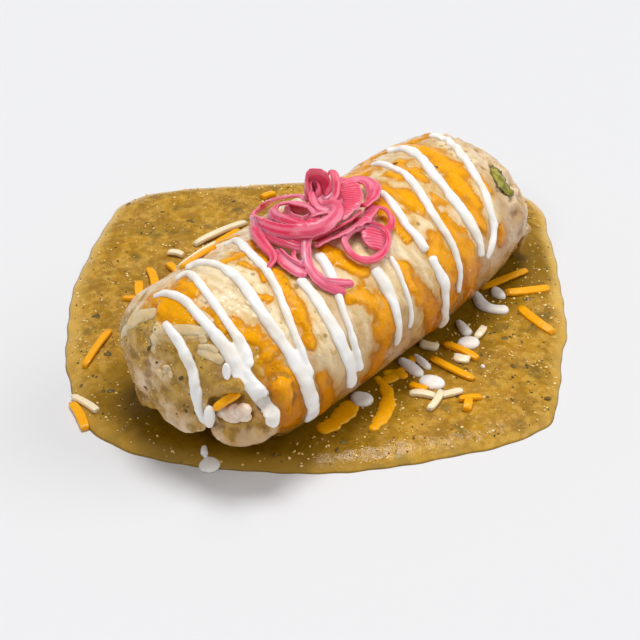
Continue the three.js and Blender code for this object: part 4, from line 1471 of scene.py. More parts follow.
def make_salsa():
    """A fine square sheet, stretched to the puddle's outline and given its depth."""
    deselect()
    bpy.ops.mesh.primitive_grid_add(x_subdivisions=SALSA_CUTS, y_subdivisions=SALSA_CUTS, size=2)
    piece = active()
    piece.name = "salsa"
    square = primitive_points(piece)[:, :2]
    ring = np.max(np.abs(square), axis=1)
    turn = np.arctan2(square[:, 1], square[:, 0]) + math.radians(SALSA_TURN)
    radius = pool_reach(turn) * ring
    points = np.stack([radius * np.cos(turn), radius * np.sin(turn), 0 * radius], -1)
    points[:, :2] += np.array(POOL_MIDDLE) + ROLL_AT[:2]
    points[:, 2] = pool_height(points)
    local = points - ROLL_AT
    stands_back = (ROLL_BACK + UNDERCUT) * smoothstep(-60, -92, local[:, 0])
    covered = under_roll(points - np.stack([stands_back, 0 * stands_back, 0 * stands_back], -1))
    level = points[:, 2] + SALSA_CLIMB * smoothstep(14.0, POOL_DEPTH, covered) * (covered > POOL_DEPTH)
    points[:, 2] = np.where(covered < POOL_DEPTH + 1, np.minimum(level, covered - SALSA_DIP), level)
    set_points(piece, points)
    inside = pool_inside(points)
    behind = 0.35 + 0.65 * smoothstep(-70, 40, local[:, 0] * 0.78 + local[:, 1] * 0.63)
    thin = smoothstep(9, 1, inside + 2.5 * value_noise(points, 14, 61)) * 0.8
    set_mask(piece, "thin", thin * behind)
    # The near_roll mask places painted shade on the salsa beside the roll.
    beside = np.maximum(np.abs(local[:, 1] + 4) - 40, 0) + np.maximum(np.abs(local[:, 0]) - 106, 0)
    near = smoothstep(30, 2, beside + 7 * layered_noise(points, 16, 67)) * 0.88
    set_mask(piece, "near_roll", near)
    bpy.ops.object.mode_set(mode="EDIT")
    bpy.ops.mesh.select_mode(type="EDGE")
    bpy.ops.mesh.select_all(action="SELECT")
    bpy.ops.mesh.region_to_loop()
    bpy.ops.mesh.extrude_edges_move()
    bpy.ops.transform.resize(value=(1, 1, 0))
    bpy.ops.mesh.edge_face_add()
    bpy.ops.mesh.select_all(action="SELECT")
    bpy.ops.mesh.normals_make_consistent(inside=False)
    bpy.ops.object.mode_set(mode="OBJECT")
    points = get_points(piece)
    floor = np.isclose(points[:, 2], points[-4:, 2].mean(), atol=1e-3)
    points[floor, 2] = 0.0
    set_points(piece, points)
    smooth_shade(piece)
    return piece


def pool_spots(count, seed, clear):
    """Random places on the salsa's surface, clear of its edge and of the roll."""
    rng = np.random.default_rng(seed)
    spots = []
    while len(spots) < count:
        turn = rng.uniform(-np.pi, np.pi)
        reach = float(pool_reach(np.array([turn]))[0])
        out = math.sqrt(rng.uniform()) * (reach - clear)
        spot = np.array([out * math.cos(turn), out * math.sin(turn), 0.0])
        spot[:2] += np.array(POOL_MIDDLE) + ROLL_AT[:2]
        if under_roll(spot[None])[0] > POOL_DEPTH + 2:
            spots.append(spot)
    spots = np.array(spots)
    spots[:, 2] = pool_height(spots)
    return spots, np.tile([0.0, 0.0, 1.0], (count, 1))


# What shows of the tucked end in the camera's frame, and the rest of the roll in x and degrees.
TUCKED_END_SEEN = ((108, 212), (318, 428))
REST_OF_ROLL = ((-104, 108), (-12, 185))
SHARE_ON_TUCKED_END = 0.6


def roll_spots(count, seed, tree):
    """Random places on the tucked end, and fewer on the rest of the roll."""
    rng = np.random.default_rng(seed)
    near = int(count * SHARE_ON_TUCKED_END)
    seen = np.stack([rng.uniform(*span, near) for span in TUCKED_END_SEEN], -1)
    seen = sighted(seen, tree)
    rest = np.stack([rng.uniform(*span, count - near) for span in REST_OF_ROLL], -1)
    ups = roll_up(rest[:, 0], rest[:, 1])
    landed = drop_on(tree, roll_point(rest[:, 0], rest[:, 1]), ups)
    return np.vstack([seen[:, :3], landed]), np.vstack([seen[:, 3:], ups])


def scatter(name, spots, ups, seed, radius, squash, segments=8, rings=5, sink=0.3):
    """Many small bits on what carries them, one mesh. radius is the smallest and the largest."""
    rng = np.random.default_rng(seed)
    model, _, shape = ball(segments, rings)
    faces = [tuple(polygon.vertices) for polygon in model.data.polygons]
    vertices = []
    polygons = []
    for spot, up in zip(spots, ups):
        size = radius[0] + (radius[1] - radius[0]) * rng.uniform() ** 2
        stretch = np.array([1.0, rng.uniform(0.55, 0.9), squash * rng.uniform(0.7, 1.3)]) * size
        bit = shape * stretch
        bit += size * 0.22 * np.stack([value_noise(bit + spot, size, s) for s in (5, 6, 7)], -1)
        turn = rng.uniform(0, 2 * np.pi)
        lean = rng.uniform(-0.35, 0.35)
        spin = np.array(Matrix.Rotation(turn, 3, "Z") @ Matrix.Rotation(lean, 3, "X"))
        stand = np.array(Vector((0, 0, 1)).rotation_difference(Vector(up)).to_matrix())
        start = len(vertices)
        place = spot + up * stretch[2] * (1 - 2 * sink)
        vertices.extend((bit @ (stand @ spin).T + place).tolist())
        polygons.extend([start + i for i in face] for face in faces)
    mesh = model.data
    mesh.clear_geometry()
    mesh.from_pydata((np.array(vertices) * MM).tolist(), [], polygons)
    mesh.update()
    model.name = name
    mesh.name = name
    smooth_shade(model)
    return model


def bits(name, count, on_roll, seed, clear, tree, placed=(), **shape):
    """Bits of one kind, count of them on the salsa and on_roll on the roll, and placed ones."""
    spots, ups = pool_spots(count, seed, clear)
    more, more_ups = roll_spots(on_roll, seed + 1, tree)
    if placed:
        seen = sighted(placed, tree)
        more, more_ups = np.vstack([more, seen[:, :3]]), np.vstack([more_ups, seen[:, 3:]])
    return scatter(name, np.vstack([spots, more]), np.vstack([ups, more_ups]), seed, **shape)


# Larger flecks and lumps on the roll, as [across, down] in the camera's frame.
FLECKS_SEEN = ((283, 278), (284.5, 276.5), (292, 276), (290.5, 279), (296, 272), (281, 270), (288, 267),
               (299, 280), (294, 284), (286, 284), (291, 289), (278, 274), (303, 276), (301, 269),
               (147, 404), (149, 347), (140, 352), (152, 360), (163, 357), (133, 362), (176, 377))
LUMPS_SEEN = ((167.5, 367.5), (169.5, 370.5), (166, 371), (160, 372.5), (172, 374))
CHILE_SEEN = ((188, 407), (186, 411), (149.5, 348))


# ------------------------ pickled onion
# Each slice of onion is given by places along it: across and down in the camera's frame, then
# its lift off the roll in millimetres, its turn off flat in degrees, and its width.
ONION_RINGS = (
    ((271, 210, 7, 15, 4.6), (277, 204.5, 8, 10, 4.4), (288, 202.5, 9, 5, 4.2), (300, 204, 9, 5, 4.2),
     (311, 208, 9, 10, 4.2), (316, 217, 8.5, 20, 4.2), (308, 226, 8, 20, 4.4), (297, 222.5, 8, 20, 4.8),
     (284, 218.5, 7.5, 15, 4.8), (274, 215, 7, 15, 4.6)),
    ((285, 210, 4, 70, 6), (297, 208, 4.5, 75, 6), (308, 211, 5, 80, 6), (311, 218, 5, 75, 6),
     (301, 222, 4.5, 70, 5), (289, 217, 4, 65, 5)),
    ((294, 256, 2.4, 30, 2.2), (296, 249, 2.4, 30, 2.2), (302, 247, 2.6, 30, 2.2),
     (306, 254, 2.6, 30, 2.2), (303, 263, 2.4, 30, 2.4), (297, 262, 2.4, 30, 2.3)),
    ((346, 240, 4.5, 20, 3.4), (348.5, 248, 4, 15, 3.4), (355, 256, 3.5, 10, 3.6),
     (364, 260.5, 3.4, 5, 3.8), (375, 260, 3.4, 5, 3.8), (384, 254, 3.6, 10, 3.6),
     (389, 244, 4, 15, 3.4), (388, 235, 4.6, 20, 3.4), (380, 228, 4.6, 20, 3.4),
     (366, 227, 4.6, 20, 3.4), (353, 231, 4.8, 20, 3.4)),
    ((371, 213, 4.4, 25, 3.4), (377, 208.5, 4.6, 25, 3), (385, 210, 4.4, 20, 2.8),
     (391.5, 216, 4, 10, 2.8), (393, 223, 3.6, 5, 3), (389, 230, 3.4, 5, 3.2), (378, 228, 3.6, 10, 3.2),
     (371, 221, 4, 20, 3.4)),
)
ONION_STRIPS = (
    # front of the big loop, from its left tip to the curl of its right end
    ((249, 217, 4.5, -20, 3), (255, 221, 5, -30, 5), (264, 225.5, 6, -35, 6), (276, 229.5, 7, -38, 6.4),
     (290, 231.5, 8, -38, 6.4), (305, 231.5, 9, -38, 6.4), (319, 229.5, 10, -35, 6.2),
     (330.5, 223.5, 11, -25, 6), (338, 215, 11.5, -5, 5.6), (337, 207.5, 11.5, 20, 5),
     (329, 205, 10.5, 45, 4.6), (319, 208, 9, 60, 4)),
    # its back
    ((249, 217, 4, 30, 3.4), (256, 210, 4.6, 30, 4.6), (264, 204, 5.4, 25, 4.8),
     (275, 199, 6.4, 20, 4.6), (287, 196, 7.2, 15, 4.2), (299, 196, 7.6, 15, 4), (309, 201, 7.6, 30, 4)),
    # strips inside it
    ((266, 216, 5, -50, 5), (276, 222, 5.4, -55, 5.5), (290, 226, 5.6, -60, 6), (304, 228, 5.6, -60, 6)),
    ((312, 192, 11, 50, 5), (312, 199, 10, 35, 5), (316, 205, 9.6, 15, 5), (323, 209.5, 9.4, -10, 4.6),
     (332, 213, 9, -30, 4)),
    ((308, 219, 8.4, 60, 4), (316, 215, 8.8, 50, 4.6), (325, 213.5, 9, 35, 4.6), (333, 211, 9, 20, 4.2)),
    ((318, 192, 9, 30, 6), (324, 199, 9, 10, 7), (333, 204, 9, -15, 7), (343, 207, 8.4, -30, 6)),
    # the curled cup at the top, and the narrow twisted loop beside it
    ((308, 199, 9, 70, 6), (303.5, 192, 11, 80, 9), (304, 184, 13, 88, 10.5), (311, 180, 14, 90, 11.5),
     (320, 181, 14, 92, 11.5), (326.5, 185.5, 13, 96, 11), (329, 193, 10.5, 100, 8),
     (324, 200, 9, 80, 5)),
    ((324, 178, 13, 70, 3.2), (326, 172.5, 15, 40, 3.4), (330, 171.5, 15.5, 10, 3.6),
     (333, 177, 14.5, -10, 3.8), (335, 187, 12.5, -15, 4), (334, 197, 10.5, -20, 4),
     (328, 203.5, 9.6, -20, 3.8), (319, 205, 9.2, -10, 3.4)),
    ((331, 180, 11, -50, 4), (331, 188, 10.6, -60, 5), (327, 196, 9.6, -40, 5), (320, 200, 9, -20, 4.6)),
    # the ribbed petal on the right
    ((332, 181, 10, 20, 5), (338, 180, 10.4, 10, 6.4), (346, 184, 10, -5, 7.6), (351, 191, 9.4, -14, 9),
     (351, 200, 8.8, -20, 9.8), (347.5, 209, 8.2, -24, 9.4), (342, 216, 7.6, -28, 7.8),
     (336, 221, 7, -30, 6)),
    ((338, 186, 8, 30, 5), (339, 195, 7.6, 10, 6), (338, 204, 7.4, -10, 6.5), (333, 212, 7, -20, 6)),
    # the far right loop
    ((347, 179, 6, 20, 5.5), (356, 178.5, 6, 10, 6.5), (365, 180, 6, 0, 7), (372, 185, 6, -10, 7),
     (373.5, 193, 6, -20, 6.4), (370, 201, 5.8, -30, 5.6), (362, 207.5, 5.6, -40, 5)),
    # the frilled band in the shade under both
    ((374, 207, 4.6, -30, 6.5), (366, 217, 4.6, -35, 8), (357, 225, 4.6, -40, 8),
     (347, 231, 4.4, -45, 7.6), (336, 236.5, 4, -45, 7), (325, 241.5, 3.6, -45, 6),
     (315, 247, 3, -40, 4.5)),
    ((360, 212, 5, -60, 6), (350, 221, 5, -62, 7), (338, 229, 5, -62, 7.5), (325, 235, 4.6, -60, 7),
     (312, 240, 4, -55, 6)),
    ((375, 206, 5, 0, 4), (371, 213, 4.6, -5, 5.4), (368.5, 222, 4.2, -10, 5), (366, 229, 4, -10, 4)),
    # strips that hang down the left
    ((251, 219, 4.6, -30, 4), (253, 227, 4.6, -25, 4.6), (258, 237, 4.2, -20, 4.6),
     (265.5, 246, 3.6, -15, 4.4), (272, 253.5, 3, -20, 4), (273.5, 260, 2.6, -30, 3.4),
     (269.5, 266, 2.2, -30, 2.6), (266, 270.5, 2, -30, 1.8)),
    ((254, 222, 4.6, -60, 3), (261, 230, 4.4, -55, 3), (269, 237.5, 4.2, -50, 3), (279, 242, 4, -45, 3),
     (291, 246, 3.8, -40, 2.8), (303, 249.5, 3.6, -30, 2.6)),
    ((262, 226, 4.8, -40, 3), (270, 232.5, 5, -40, 3.4), (281, 238, 4.8, -45, 3.6),
     (293, 243, 4.4, -40, 3.2), (305, 246, 4, -30, 2.8)),
    ((268, 230, 2.6, -30, 5), (278, 236, 2.4, -30, 6), (290, 239, 2.4, -35, 5), (304, 242, 2.4, -35, 4)),
    ((274, 250, 2.4, -10, 5), (281, 257, 2.4, -12, 5.8), (289, 264.5, 2.2, -14, 6),
     (298, 271, 2, -12, 6), (308, 276, 1.8, -10, 5)),
    ((279, 249, 3, -50, 2.2), (286, 256, 3, -50, 2.2), (295, 262.5, 2.8, -45, 2.2),
     (305, 268, 2.6, -40, 2.2)),
    # the long tail and its branch
    ((311, 232, 7, 10, 4.6), (307.5, 240, 5.6, 5, 4.6), (306.5, 250, 4, 0, 4.6),
     (308, 261, 2.8, -5, 4.6), (313, 272, 2.2, -10, 4.8), (321, 281, 1.9, -12, 5),
     (330, 287.5, 1.7, -12, 4.8), (339, 291.5, 1.6, -10, 4), (347, 292, 1.6, 0, 2.6)),
    ((322, 279, 1.8, -25, 3), (330, 282.5, 1.7, -20, 3.8), (340, 284, 1.6, -15, 4),
     (349, 284, 1.6, -10, 3.8), (355, 284, 1.7, -5, 2.8)),
    # the ribbed petal in the lower ring
    ((374.5, 225, 4.4, 10, 9), (375.5, 231, 4.2, 8, 12), (377, 238, 3.8, 5, 13),
     (378, 245, 3.2, 0, 11.5), (378.5, 251.5, 2.8, 0, 7)),
    # a fold inside the cup
    ((310, 197, 9.6, 80, 6), (307.5, 190.5, 10.5, 85, 7), (311, 186.5, 11.2, 90, 7.5),
     (317, 188, 11.2, 90, 7), (319, 193.5, 10.4, 85, 6), (315, 198, 9.6, 75, 5)),
)
# The open strips whose ribs show, by their place in the list.
RIBBED = (9, 12, 23)
RIB_SPACING = 0.36
STRIP_SPACING = 0.8
STRIP_TIP = 1.8
RING_RADIUS = 4
SECTION_SIDES = 28


def onion_piece(route, closed, seed, ribs):
    """A slice of pickled onion: a thin band, cupped, frilled and lipped along its edges."""
    points, up, side, values, length = route_frames(seen_on_roll(route), True, closed)
    thickness = sizes().onion_thickness
    spacing = RIB_SPACING if ribs else STRIP_SPACING
    if closed:
        deselect()
        bpy.ops.mesh.primitive_torus_add(major_radius=RING_RADIUS, minor_radius=1,
                                         major_segments=max(30, int(length / spacing)),
                                         minor_segments=SECTION_SIDES)
        piece = active()
        local = primitive_points(piece)
        spread = (np.arctan2(local[:, 1], local[:, 0]) / (2 * np.pi)) % 1
        turn = np.arctan2(local[:, 2], np.hypot(local[:, 0], local[:, 1]) - RING_RADIUS)
        points, up, side, values = (np.vstack([rows, rows[:1]]) for rows in (points, up, side, values))
        taper = np.ones(len(spread))
    else:
        piece, spread, turn = long_ball(SECTION_SIDES, max(20, int(length / spacing)))
        taper = round_tips(np.minimum(spread, 1 - spread) * length / STRIP_TIP)
    lift, swing, width = sampled(values, spread).T
    ups = sampled(up, spread)
    sides = sampled(side, spread)
    flat = np.sign(np.cos(turn)) * np.abs(np.cos(turn)) ** 0.8
    thin = np.sign(np.sin(turn)) * np.abs(np.sin(turn)) ** 0.45
    loop = np.stack([np.cos(2 * np.pi * spread), np.sin(2 * np.pi * spread), 0 * spread], -1)
    place = loop * length / 6 + seed * 13.7
    swing = np.radians(swing) + 0.16 * value_noise(place, 2.6, seed)
    width = width * (1 + 0.10 * value_noise(place, 1.7, seed + 5) + 0.05 * value_noise(place, 0.6, seed))
    broad = sides * np.cos(swing)[:, None] + ups * np.sin(swing)[:, None]
    across = ups * np.cos(swing)[:, None] - sides * np.sin(swing)[:, None]
    edge = np.stack([spread * length, flat * 3, 0 * spread + seed * 5.3], -1)
    frill = (0.09 * width * flat ** 2 + 0.15) * value_noise(edge, 4.0, seed + 9)
    frill += 0.035 * width * flat ** 2 * value_noise(edge, 1.5, seed + 3)
    cup = -0.07 * width * flat ** 2
    fan = spread * length * 4.6 + 1.2 * flat + 1.8 * value_noise(edge, 3, seed + 2)
    groove = 0.10 * np.sin(fan) if ribs else 0.08 * np.cos(flat * 11 + seed)
    groove = groove * (1 - np.abs(flat) ** 5)
    body = thin * thickness / 2 * (0.5 + 0.5 * taper) * (1 - 0.3 * np.abs(flat) ** 4)
    placed = sampled(points, spread) + ups * lift[:, None] + broad * (flat * width / 2 * taper)[:, None]
    set_points(piece, placed + across * (body + (cup + frill) * taper + groove * thin)[:, None])
    set_mask(piece, "rim", np.abs(flat))
    set_mask(piece, "skin", flat * (1 if seed % 3 else -1))
    streaks = 0.5 + value_noise(np.stack([spread * length * 0.1, flat * 3.2, 0 * flat + seed], -1), 1, 7)
    set_mask(piece, "vein", 0.5 + 0.5 * np.sin(fan) if ribs else streaks)
    return piece


def make_onions():
    """The heap of pickled rings and strips, one piece."""
    pieces = [onion_piece(route, True, 20 + i, False) for i, route in enumerate(ONION_RINGS)]
    pieces += [onion_piece(route, False, 50 + i, i in RIBBED) for i, route in enumerate(ONION_STRIPS)]
    piece = join("onion_heap", pieces)
    smooth_shade(piece)
    return piece


# ------------------------ green chile leaf
# The leaf's left and right edges as [across, down] in the camera's frame.
LEAF_LEFT = ((492, 162), (492.5, 170), (494.5, 178), (500, 187), (508, 191), (513, 196))
LEAF_RIGHT = ((496, 160.5), (500.5, 166.5), (505.5, 174), (511, 180), (515, 187), (516, 194))
LEAF_LIFT = 0.6
LEAF_THICKNESS = 0.5


def make_chile_leaf(tree):
    """A crinkled scrap of roasted green chile stuck to the far end."""
    deselect()
    bpy.ops.mesh.primitive_grid_add(x_subdivisions=22, y_subdivisions=40, size=1)
    piece = active()
    flat = primitive_points(piece)
    left = curve_points(LEAF_LEFT, 1.0, 60)[0]
    right = curve_points(LEAF_RIGHT, 1.0, 60)[0]
    down = flat[:, 1] + 0.5
    side = flat[:, :1] + 0.5
    ragged = 0.35 * value_noise(np.stack([down * 14, side[:, 0] * 2, 0 * down], -1), 1, 5)
    side = 0.5 + (side - 0.5) * (1 + ragged[:, None])
    seen = sampled(left, down) * (1 - side) + sampled(right, down) * side
    x, degrees = seen_on_roll(np.column_stack([seen, np.zeros(len(seen))]))[:, :2].T
    ups = roll_up(x, degrees)
    base = drop_on(tree, roll_point(x, degrees), ups)
    wave = 0.5 * value_noise(base, 3.0, 8) + 0.25 * value_noise(base, 1.3, 9)
    set_points(piece, base + ups * (LEAF_LIFT + wave)[:, None])
    set_mask(piece, "rim", np.maximum(np.abs(flat[:, 0]), np.abs(flat[:, 1])) * 2)
    apply_modifier(piece, "SOLIDIFY", thickness=LEAF_THICKNESS * MM, offset=0.0)
    piece.name = "green_chile"
    smooth_shade(piece)
    return piece


# ------------------------ stage
FLOOR_SIZE = 8
FLOOR_COLOUR = (0.735, 0.737, 0.75, 1)
WORLD_STRENGTH = 0.33
# Each light's name, the place that it shines from, its strength and its softness in degrees.
SOFTBOXES = (
    ("Overhead softbox", (0.25, 0.14, 1.0), 1.98, 22),
    ("Left softbox", (-0.9, -0.1, 0.9), 0.5, 16),
    ("Right softbox", (0.8, -0.85, 0.75), 0.85, 40),
)


def make_camera():
    data = bpy.data.cameras.new("Camera")
    data.lens = CAMERA_LENS
    data.sensor_width = SENSOR
    data.clip_end = 20
    camera = bpy.data.objects.new("Camera", data)
    bpy.context.collection.objects.link(camera)
    right, up, forward = camera_axes()
    eye = (np.array(CAMERA_FROM_ROLL) + ROLL_AT) * MM
    rows = np.vstack([np.stack([right, up, -forward, eye], -1), [0, 0, 0, 1]])
    camera.matrix_world = Matrix(rows.tolist())
    bpy.context.scene.camera = camera


def sun_light(name, place, strength, softness):
    """Even soft light that comes from a direction."""
    data = bpy.data.lights.new(name, "SUN")
    data.energy = strength
    data.angle = math.radians(softness)
    light = bpy.data.objects.new(name, data)
    light.location = place
    light.rotation_euler = (-Vector(place)).to_track_quat("-Z", "Y").to_euler()
    bpy.context.collection.objects.link(light)


# ------------------------ settings
def tone(name, description, default):
    """A colour setting."""
    return bpy.props.FloatVectorProperty(
        name=name, description=description, default=default, subtype="COLOR", size=3, min=0, max=1)


def measure(name, description, default):
    """A length setting."""
    return bpy.props.FloatProperty(name=name, description=f"{description}, in millimetres",
                                   default=default, min=0.05)


class BurritoSizes(bpy.types.PropertyGroup):
    tortilla_grain: measure("Tortilla grain", "Size of the tortilla mesh's faces", 0.9)
    crema_height: measure("Crema height", "Height of a crema stripe", 1.9)
    jack_thickness: measure("Jack thickness", "Thickness of melted white cheese", 0.7)
    cheddar_thickness: measure("Cheddar thickness", "Thickness of melted cheddar", 0.65)
    shred_width: measure("Shred width", "Width of a shred of cheese", 4.0)
    shred_thickness: measure("Shred thickness", "Thickness of a shred of cheese", 2.0)
    onion_thickness: measure("Onion thickness", "Thickness of a slice of onion", 1.45)


class BurritoColours(bpy.types.PropertyGroup):
    tortilla: tone("Tortilla", "Steamed flour tortilla", (0.87, 0.67, 0.45))
    tortilla_deep: tone("Tortilla deep", "Wetter tortilla", (0.66, 0.45, 0.24))
    freckle: tone("Freckle", "Browned freckles", (0.2, 0.1, 0.03))
    glaze: tone("Glaze", "Tortilla under a film of salsa", (0.6, 0.35, 0.045))
    glaze_deep: tone("Glaze deep", "Thicker film of salsa", (0.36, 0.19, 0.008))
    # Salsa caught in creases together with painted crease shade.
    crevice: tone("Crease salsa and shade", "Salsa in a crease", (0.26, 0.13, 0.02))
    # Painted shade towards the roll's foot.
    wet_side: tone("Foot shade", "Darkening towards the roll's foot", (0.62, 0.50, 0.36))
    oil: tone("Oil", "Orange oil round the cheddar", (0.7, 0.34, 0.02))
    jack: tone("Jack", "Melted white cheese", (0.96, 0.76, 0.49))
    jack_deep: tone("Jack deep", "Thinner white cheese", (0.76, 0.53, 0.27))
    jack_firm: tone("Firm jack", "White shreds", (0.92, 0.78, 0.54))
    jack_soft: tone("Softened jack", "White shreds gone soft", (0.74, 0.57, 0.34))
    pocket: tone("Pocket cheese", "Wet cheese in the pocket", (0.88, 0.73, 0.60))
    pocket_deep: tone("Pocket cheese deep", "Its hollows", (0.78, 0.59, 0.45))
    cheddar: tone("Cheddar", "Melted cheddar", (0.97, 0.39, 0.0))
    cheddar_deep: tone("Cheddar deep", "Thin or deep melted cheddar", (0.66, 0.24, 0.0))
    # Painted highlight on the melted cheddar.
    cheddar_light: tone("Cheddar light", "Yellow gloss of cheddar", (1.0, 0.55, 0.012))
    cheddar_firm: tone("Firm cheddar", "Orange shreds", (0.95, 0.43, 0.003))
    crema: tone("Crema", "Sour cream", (0.96, 0.935, 0.9))
    crema_shade: tone("Crema shade", "Slightly warmer sour cream", (0.9, 0.84, 0.76))
    salsa: tone("Salsa", "Cooked tomatillo", (0.48, 0.25, 0.018))
    salsa_pulp: tone("Salsa pulp", "Denser pulp", (0.4, 0.21, 0.03))
    salsa_light: tone("Salsa light", "Light bits of pulp", (0.68, 0.4, 0.07))
    salsa_deep: tone("Salsa deep", "Dark liquid between the pulp", (0.2, 0.095, 0.003))
    # Dark salsa: painted shade beside the roll, and the dark tone of the chile bits.
    salsa_green: tone("Salsa dark and shade", "Salsa beside the roll", (0.19, 0.098, 0.001))
    salsa_edge: tone("Salsa edge", "Thin salsa at the rim", (0.74, 0.46, 0.1))
    herb: tone("Herb", "Bits of chile and herb", (0.09, 0.075, 0.02))
    seed: tone("Seed", "Tomatillo seeds", (0.95, 0.7, 0.3))
    char: tone("Char", "Flecks of charred skin", (0.05, 0.032, 0.012))
    onion: tone("Onion", "Pickled red onion", (0.80, 0.066, 0.138))
    onion_light: tone("Onion light", "Paler flesh", (0.86, 0.195, 0.295))
    onion_pale: tone("Onion pale", "Pale lips and veins", (0.88, 0.325, 0.415))
    onion_rim: tone("Onion rim", "Onion skin", (0.62, 0.012, 0.075))
    chile: tone("Chile", "Roasted green chile", (0.22, 0.20, 0.012))
    chile_light: tone("Chile light", "Wet middle of the leaf", (0.42, 0.36, 0.06))


# ------------------------ operators
class BURRITO_OT_stage(bpy.types.Operator):
    """Add the floor, the soft lights and the camera"""
    bl_idname = "burrito.stage"
    bl_label = "Stage"

    def execute(self, context):
        make_camera()
        deselect()
        bpy.ops.mesh.primitive_plane_add(size=FLOOR_SIZE, location=(0, 0, 0))
        floor = active()
        floor.name = "floor"
        material, tree = new_material("Pale floor")
        shader = add(tree, "ShaderNodeBsdfPrincipled", in_Roughness=0.9)
        shader.inputs["Base Color"].default_value = FLOOR_COLOUR
        output = add(tree, "ShaderNodeOutputMaterial")
        tree.links.new(shader.outputs[0], output.inputs["Surface"])
        floor.data.materials.append(material)
        world = bpy.data.worlds.new("Studio")
        context.scene.world = world
        world.use_nodes = True
        background = world.node_tree.nodes["Background"]
        background.inputs["Color"].default_value = (1, 1, 1, 1)
        background.inputs["Strength"].default_value = WORLD_STRENGTH
        for softbox in SOFTBOXES:
            sun_light(*softbox)
        context.scene.view_settings.view_transform = "Standard"
        return {"FINISHED"}


class BURRITO_OT_tortilla(bpy.types.Operator):
    """Model the rolled tortilla with its tucked end"""
    bl_idname = "burrito.tortilla"
    bl_label = "Tortilla"

    def execute(self, context):
        dress(make_tortilla(), roll_material("Wet tortilla", dull=0.30), "tortilla", "burrito")
        return {"FINISHED"}


class BURRITO_OT_melted_cheese(bpy.types.Operator):
    """Model the melted white and orange cheese over the roll"""
    bl_idname = "burrito.melted_cheese"
    bl_label = "Melted cheese"

    def execute(self, context):
        body = bpy.data.objects["tortilla"]
        jack, cheddar = paint_roll(body)
        under = sizes().jack_thickness * smoothstep(0, 0.55, jack)
        sheet = melted_sheet("melted_jack", body, jack, sizes().jack_thickness, 0)
        dress(sheet, roll_material("Melted jack", dull=0.22), "jack")
        lift = under * CHEDDAR_OVER_JACK
        sheet = melted_sheet("melted_cheddar", body, cheddar, sizes().cheddar_thickness, lift)
        dress(sheet, roll_material("Melted cheddar", dull=0.2, shine=0.32), "cheddar")
        return {"FINISHED"}


def cheese_tree():
    """A search tree of the roll with its melted cheese."""
    names = ("tortilla", "melted_jack", "melted_cheddar")
    return surface_tree([bpy.data.objects[name] for name in names])


class BURRITO_OT_salsa(bpy.types.Operator):
    """Model the puddle of salsa verde with its seeds, flecks and bits of chile"""
    bl_idname = "burrito.salsa"
    bl_label = "Salsa verde"

    def execute(self, context):
        tint = colours()
        dress(make_salsa(), salsa_material(), "salsa", "salsa_verde")
        tree = cheese_tree()
        seeds = bits("tomatillo_seeds", count=1500, on_roll=170, seed=7, clear=2.0, tree=tree,
                     radius=(0.32, 0.85), squash=0.45)
        lumps = scatter("soft_lumps", *np.split(sighted(LUMPS_SEEN, tree), 2, axis=1), seed=5,
                        radius=(1.3, 2.4), squash=0.5, segments=16, rings=9, sink=0.35)
        dress(lumps, shred_material("Soft lump", tint.jack_soft, tint.jack_deep), "jack")
        dress(seeds, bit_material("Tomatillo seed", tint.seed, tint.salsa_light), "salsa")
        flecks = bits("char_flecks", count=800, on_roll=90, seed=11, clear=2.0, tree=tree,
                      placed=FLECKS_SEEN, radius=(0.16, 0.7), squash=0.3, segments=7, rings=4, sink=0.35)
        dress(flecks, bit_material("Char", tint.char, tint.herb, shiny=0.5), "salsa")
        chile = bits("chile_bits", count=90, on_roll=5, seed=13, clear=5.0, tree=tree,
                     placed=CHILE_SEEN, radius=(0.7, 2.4), squash=0.14, segments=12, rings=6, sink=0.46)
        dress(chile, bit_material("Chile bit", tint.herb, tint.salsa_green), "chile")
        return {"FINISHED"}


class BURRITO_OT_crema(bpy.types.Operator):
    """Model the crema, in stripes over the roll and drops on the salsa"""
    bl_idname = "burrito.crema"
    bl_label = "Crema"

    def execute(self, context):
        dress(make_crema(cheese_tree()), crema_material(), "crema")
        return {"FINISHED"}


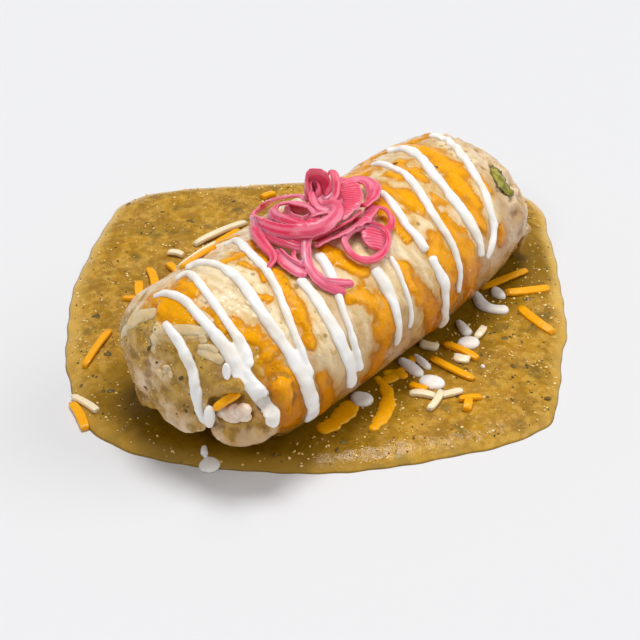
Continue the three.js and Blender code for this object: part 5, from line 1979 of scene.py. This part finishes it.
class BURRITO_OT_shreds(bpy.types.Operator):
    """Model the shreds of orange and white cheese"""
    bl_idname = "burrito.shreds"
    bl_label = "Shreds of cheese"

    def execute(self, context):
        tint = colours()
        tree = cheese_tree()
        on_pool = (*CHEDDAR_SHREDS, POCKET_SHRED)
        cheddar = make_shreds("cheddar_shreds", on_pool, CHEDDAR_ON_ROLL, tree, CHEDDAR_CURLS)
        dress(cheddar, shred_material("Cheddar shred", tint.cheddar, tint.cheddar_firm), "cheddar")
        jack = make_shreds("jack_shreds", JACK_SHREDS, JACK_ON_ROLL, tree)
        dress(jack, shred_material("Jack shred", tint.jack_firm, tint.jack), "jack")
        pocket = shred_material("Pocket cheese", tint.pocket, tint.pocket_deep)
        dress(make_pocket_cheese(), pocket, "jack")
        softened = shred_material("Softened jack", tint.jack_soft, tint.jack_deep)
        dress(make_softened_jack(tree), softened, "jack")
        return {"FINISHED"}


class BURRITO_OT_onions(bpy.types.Operator):
    """Model the heap of pickled red onion"""
    bl_idname = "burrito.onions"
    bl_label = "Pickled onions"

    def execute(self, context):
        dress(make_onions(), onion_material(), "onion", "pickled_onions")
        return {"FINISHED"}


class BURRITO_OT_chile_leaf(bpy.types.Operator):
    """Model the scrap of green chile at the far end"""
    bl_idname = "burrito.chile_leaf"
    bl_label = "Green chile"

    def execute(self, context):
        leaf = make_chile_leaf(surface_tree([bpy.data.objects["tortilla"]]))
        dress(leaf, leaf_material(), "chile", "chile_leaf")
        return {"FINISHED"}


OPERATORS = (
    BURRITO_OT_stage,
    BURRITO_OT_tortilla,
    BURRITO_OT_melted_cheese,
    BURRITO_OT_salsa,
    BURRITO_OT_crema,
    BURRITO_OT_shreds,
    BURRITO_OT_onions,
    BURRITO_OT_chile_leaf,
)


class BURRITO_PT_panel(bpy.types.Panel):
    """Lists the burrito's pieces and settings"""
    bl_label = "Burrito"
    bl_space_type = "VIEW_3D"
    bl_region_type = "UI"
    bl_category = "Burrito"

    def draw(self, context):
        for operator in OPERATORS:
            self.layout.operator(operator.bl_idname)
        for settings in (context.scene.burrito_sizes, context.scene.burrito_colours):
            for name in settings.bl_rna.properties.keys():
                if name not in {"rna_type", "name"}:
                    self.layout.prop(settings, name)


CLASSES = (BurritoSizes, BurritoColours, *OPERATORS, BURRITO_PT_panel)


def register():
    for item in CLASSES:
        bpy.utils.register_class(item)
    bpy.types.Scene.burrito_sizes = bpy.props.PointerProperty(type=BurritoSizes)
    bpy.types.Scene.burrito_colours = bpy.props.PointerProperty(type=BurritoColours)


def unregister():
    del bpy.types.Scene.burrito_colours
    del bpy.types.Scene.burrito_sizes
    for item in reversed(CLASSES):
        bpy.utils.unregister_class(item)


def main():
    register()
    for operator in OPERATORS:
        group, name = operator.bl_idname.split(".")
        getattr(getattr(bpy.ops, group), name)()


if __name__ == "__main__":
    main()
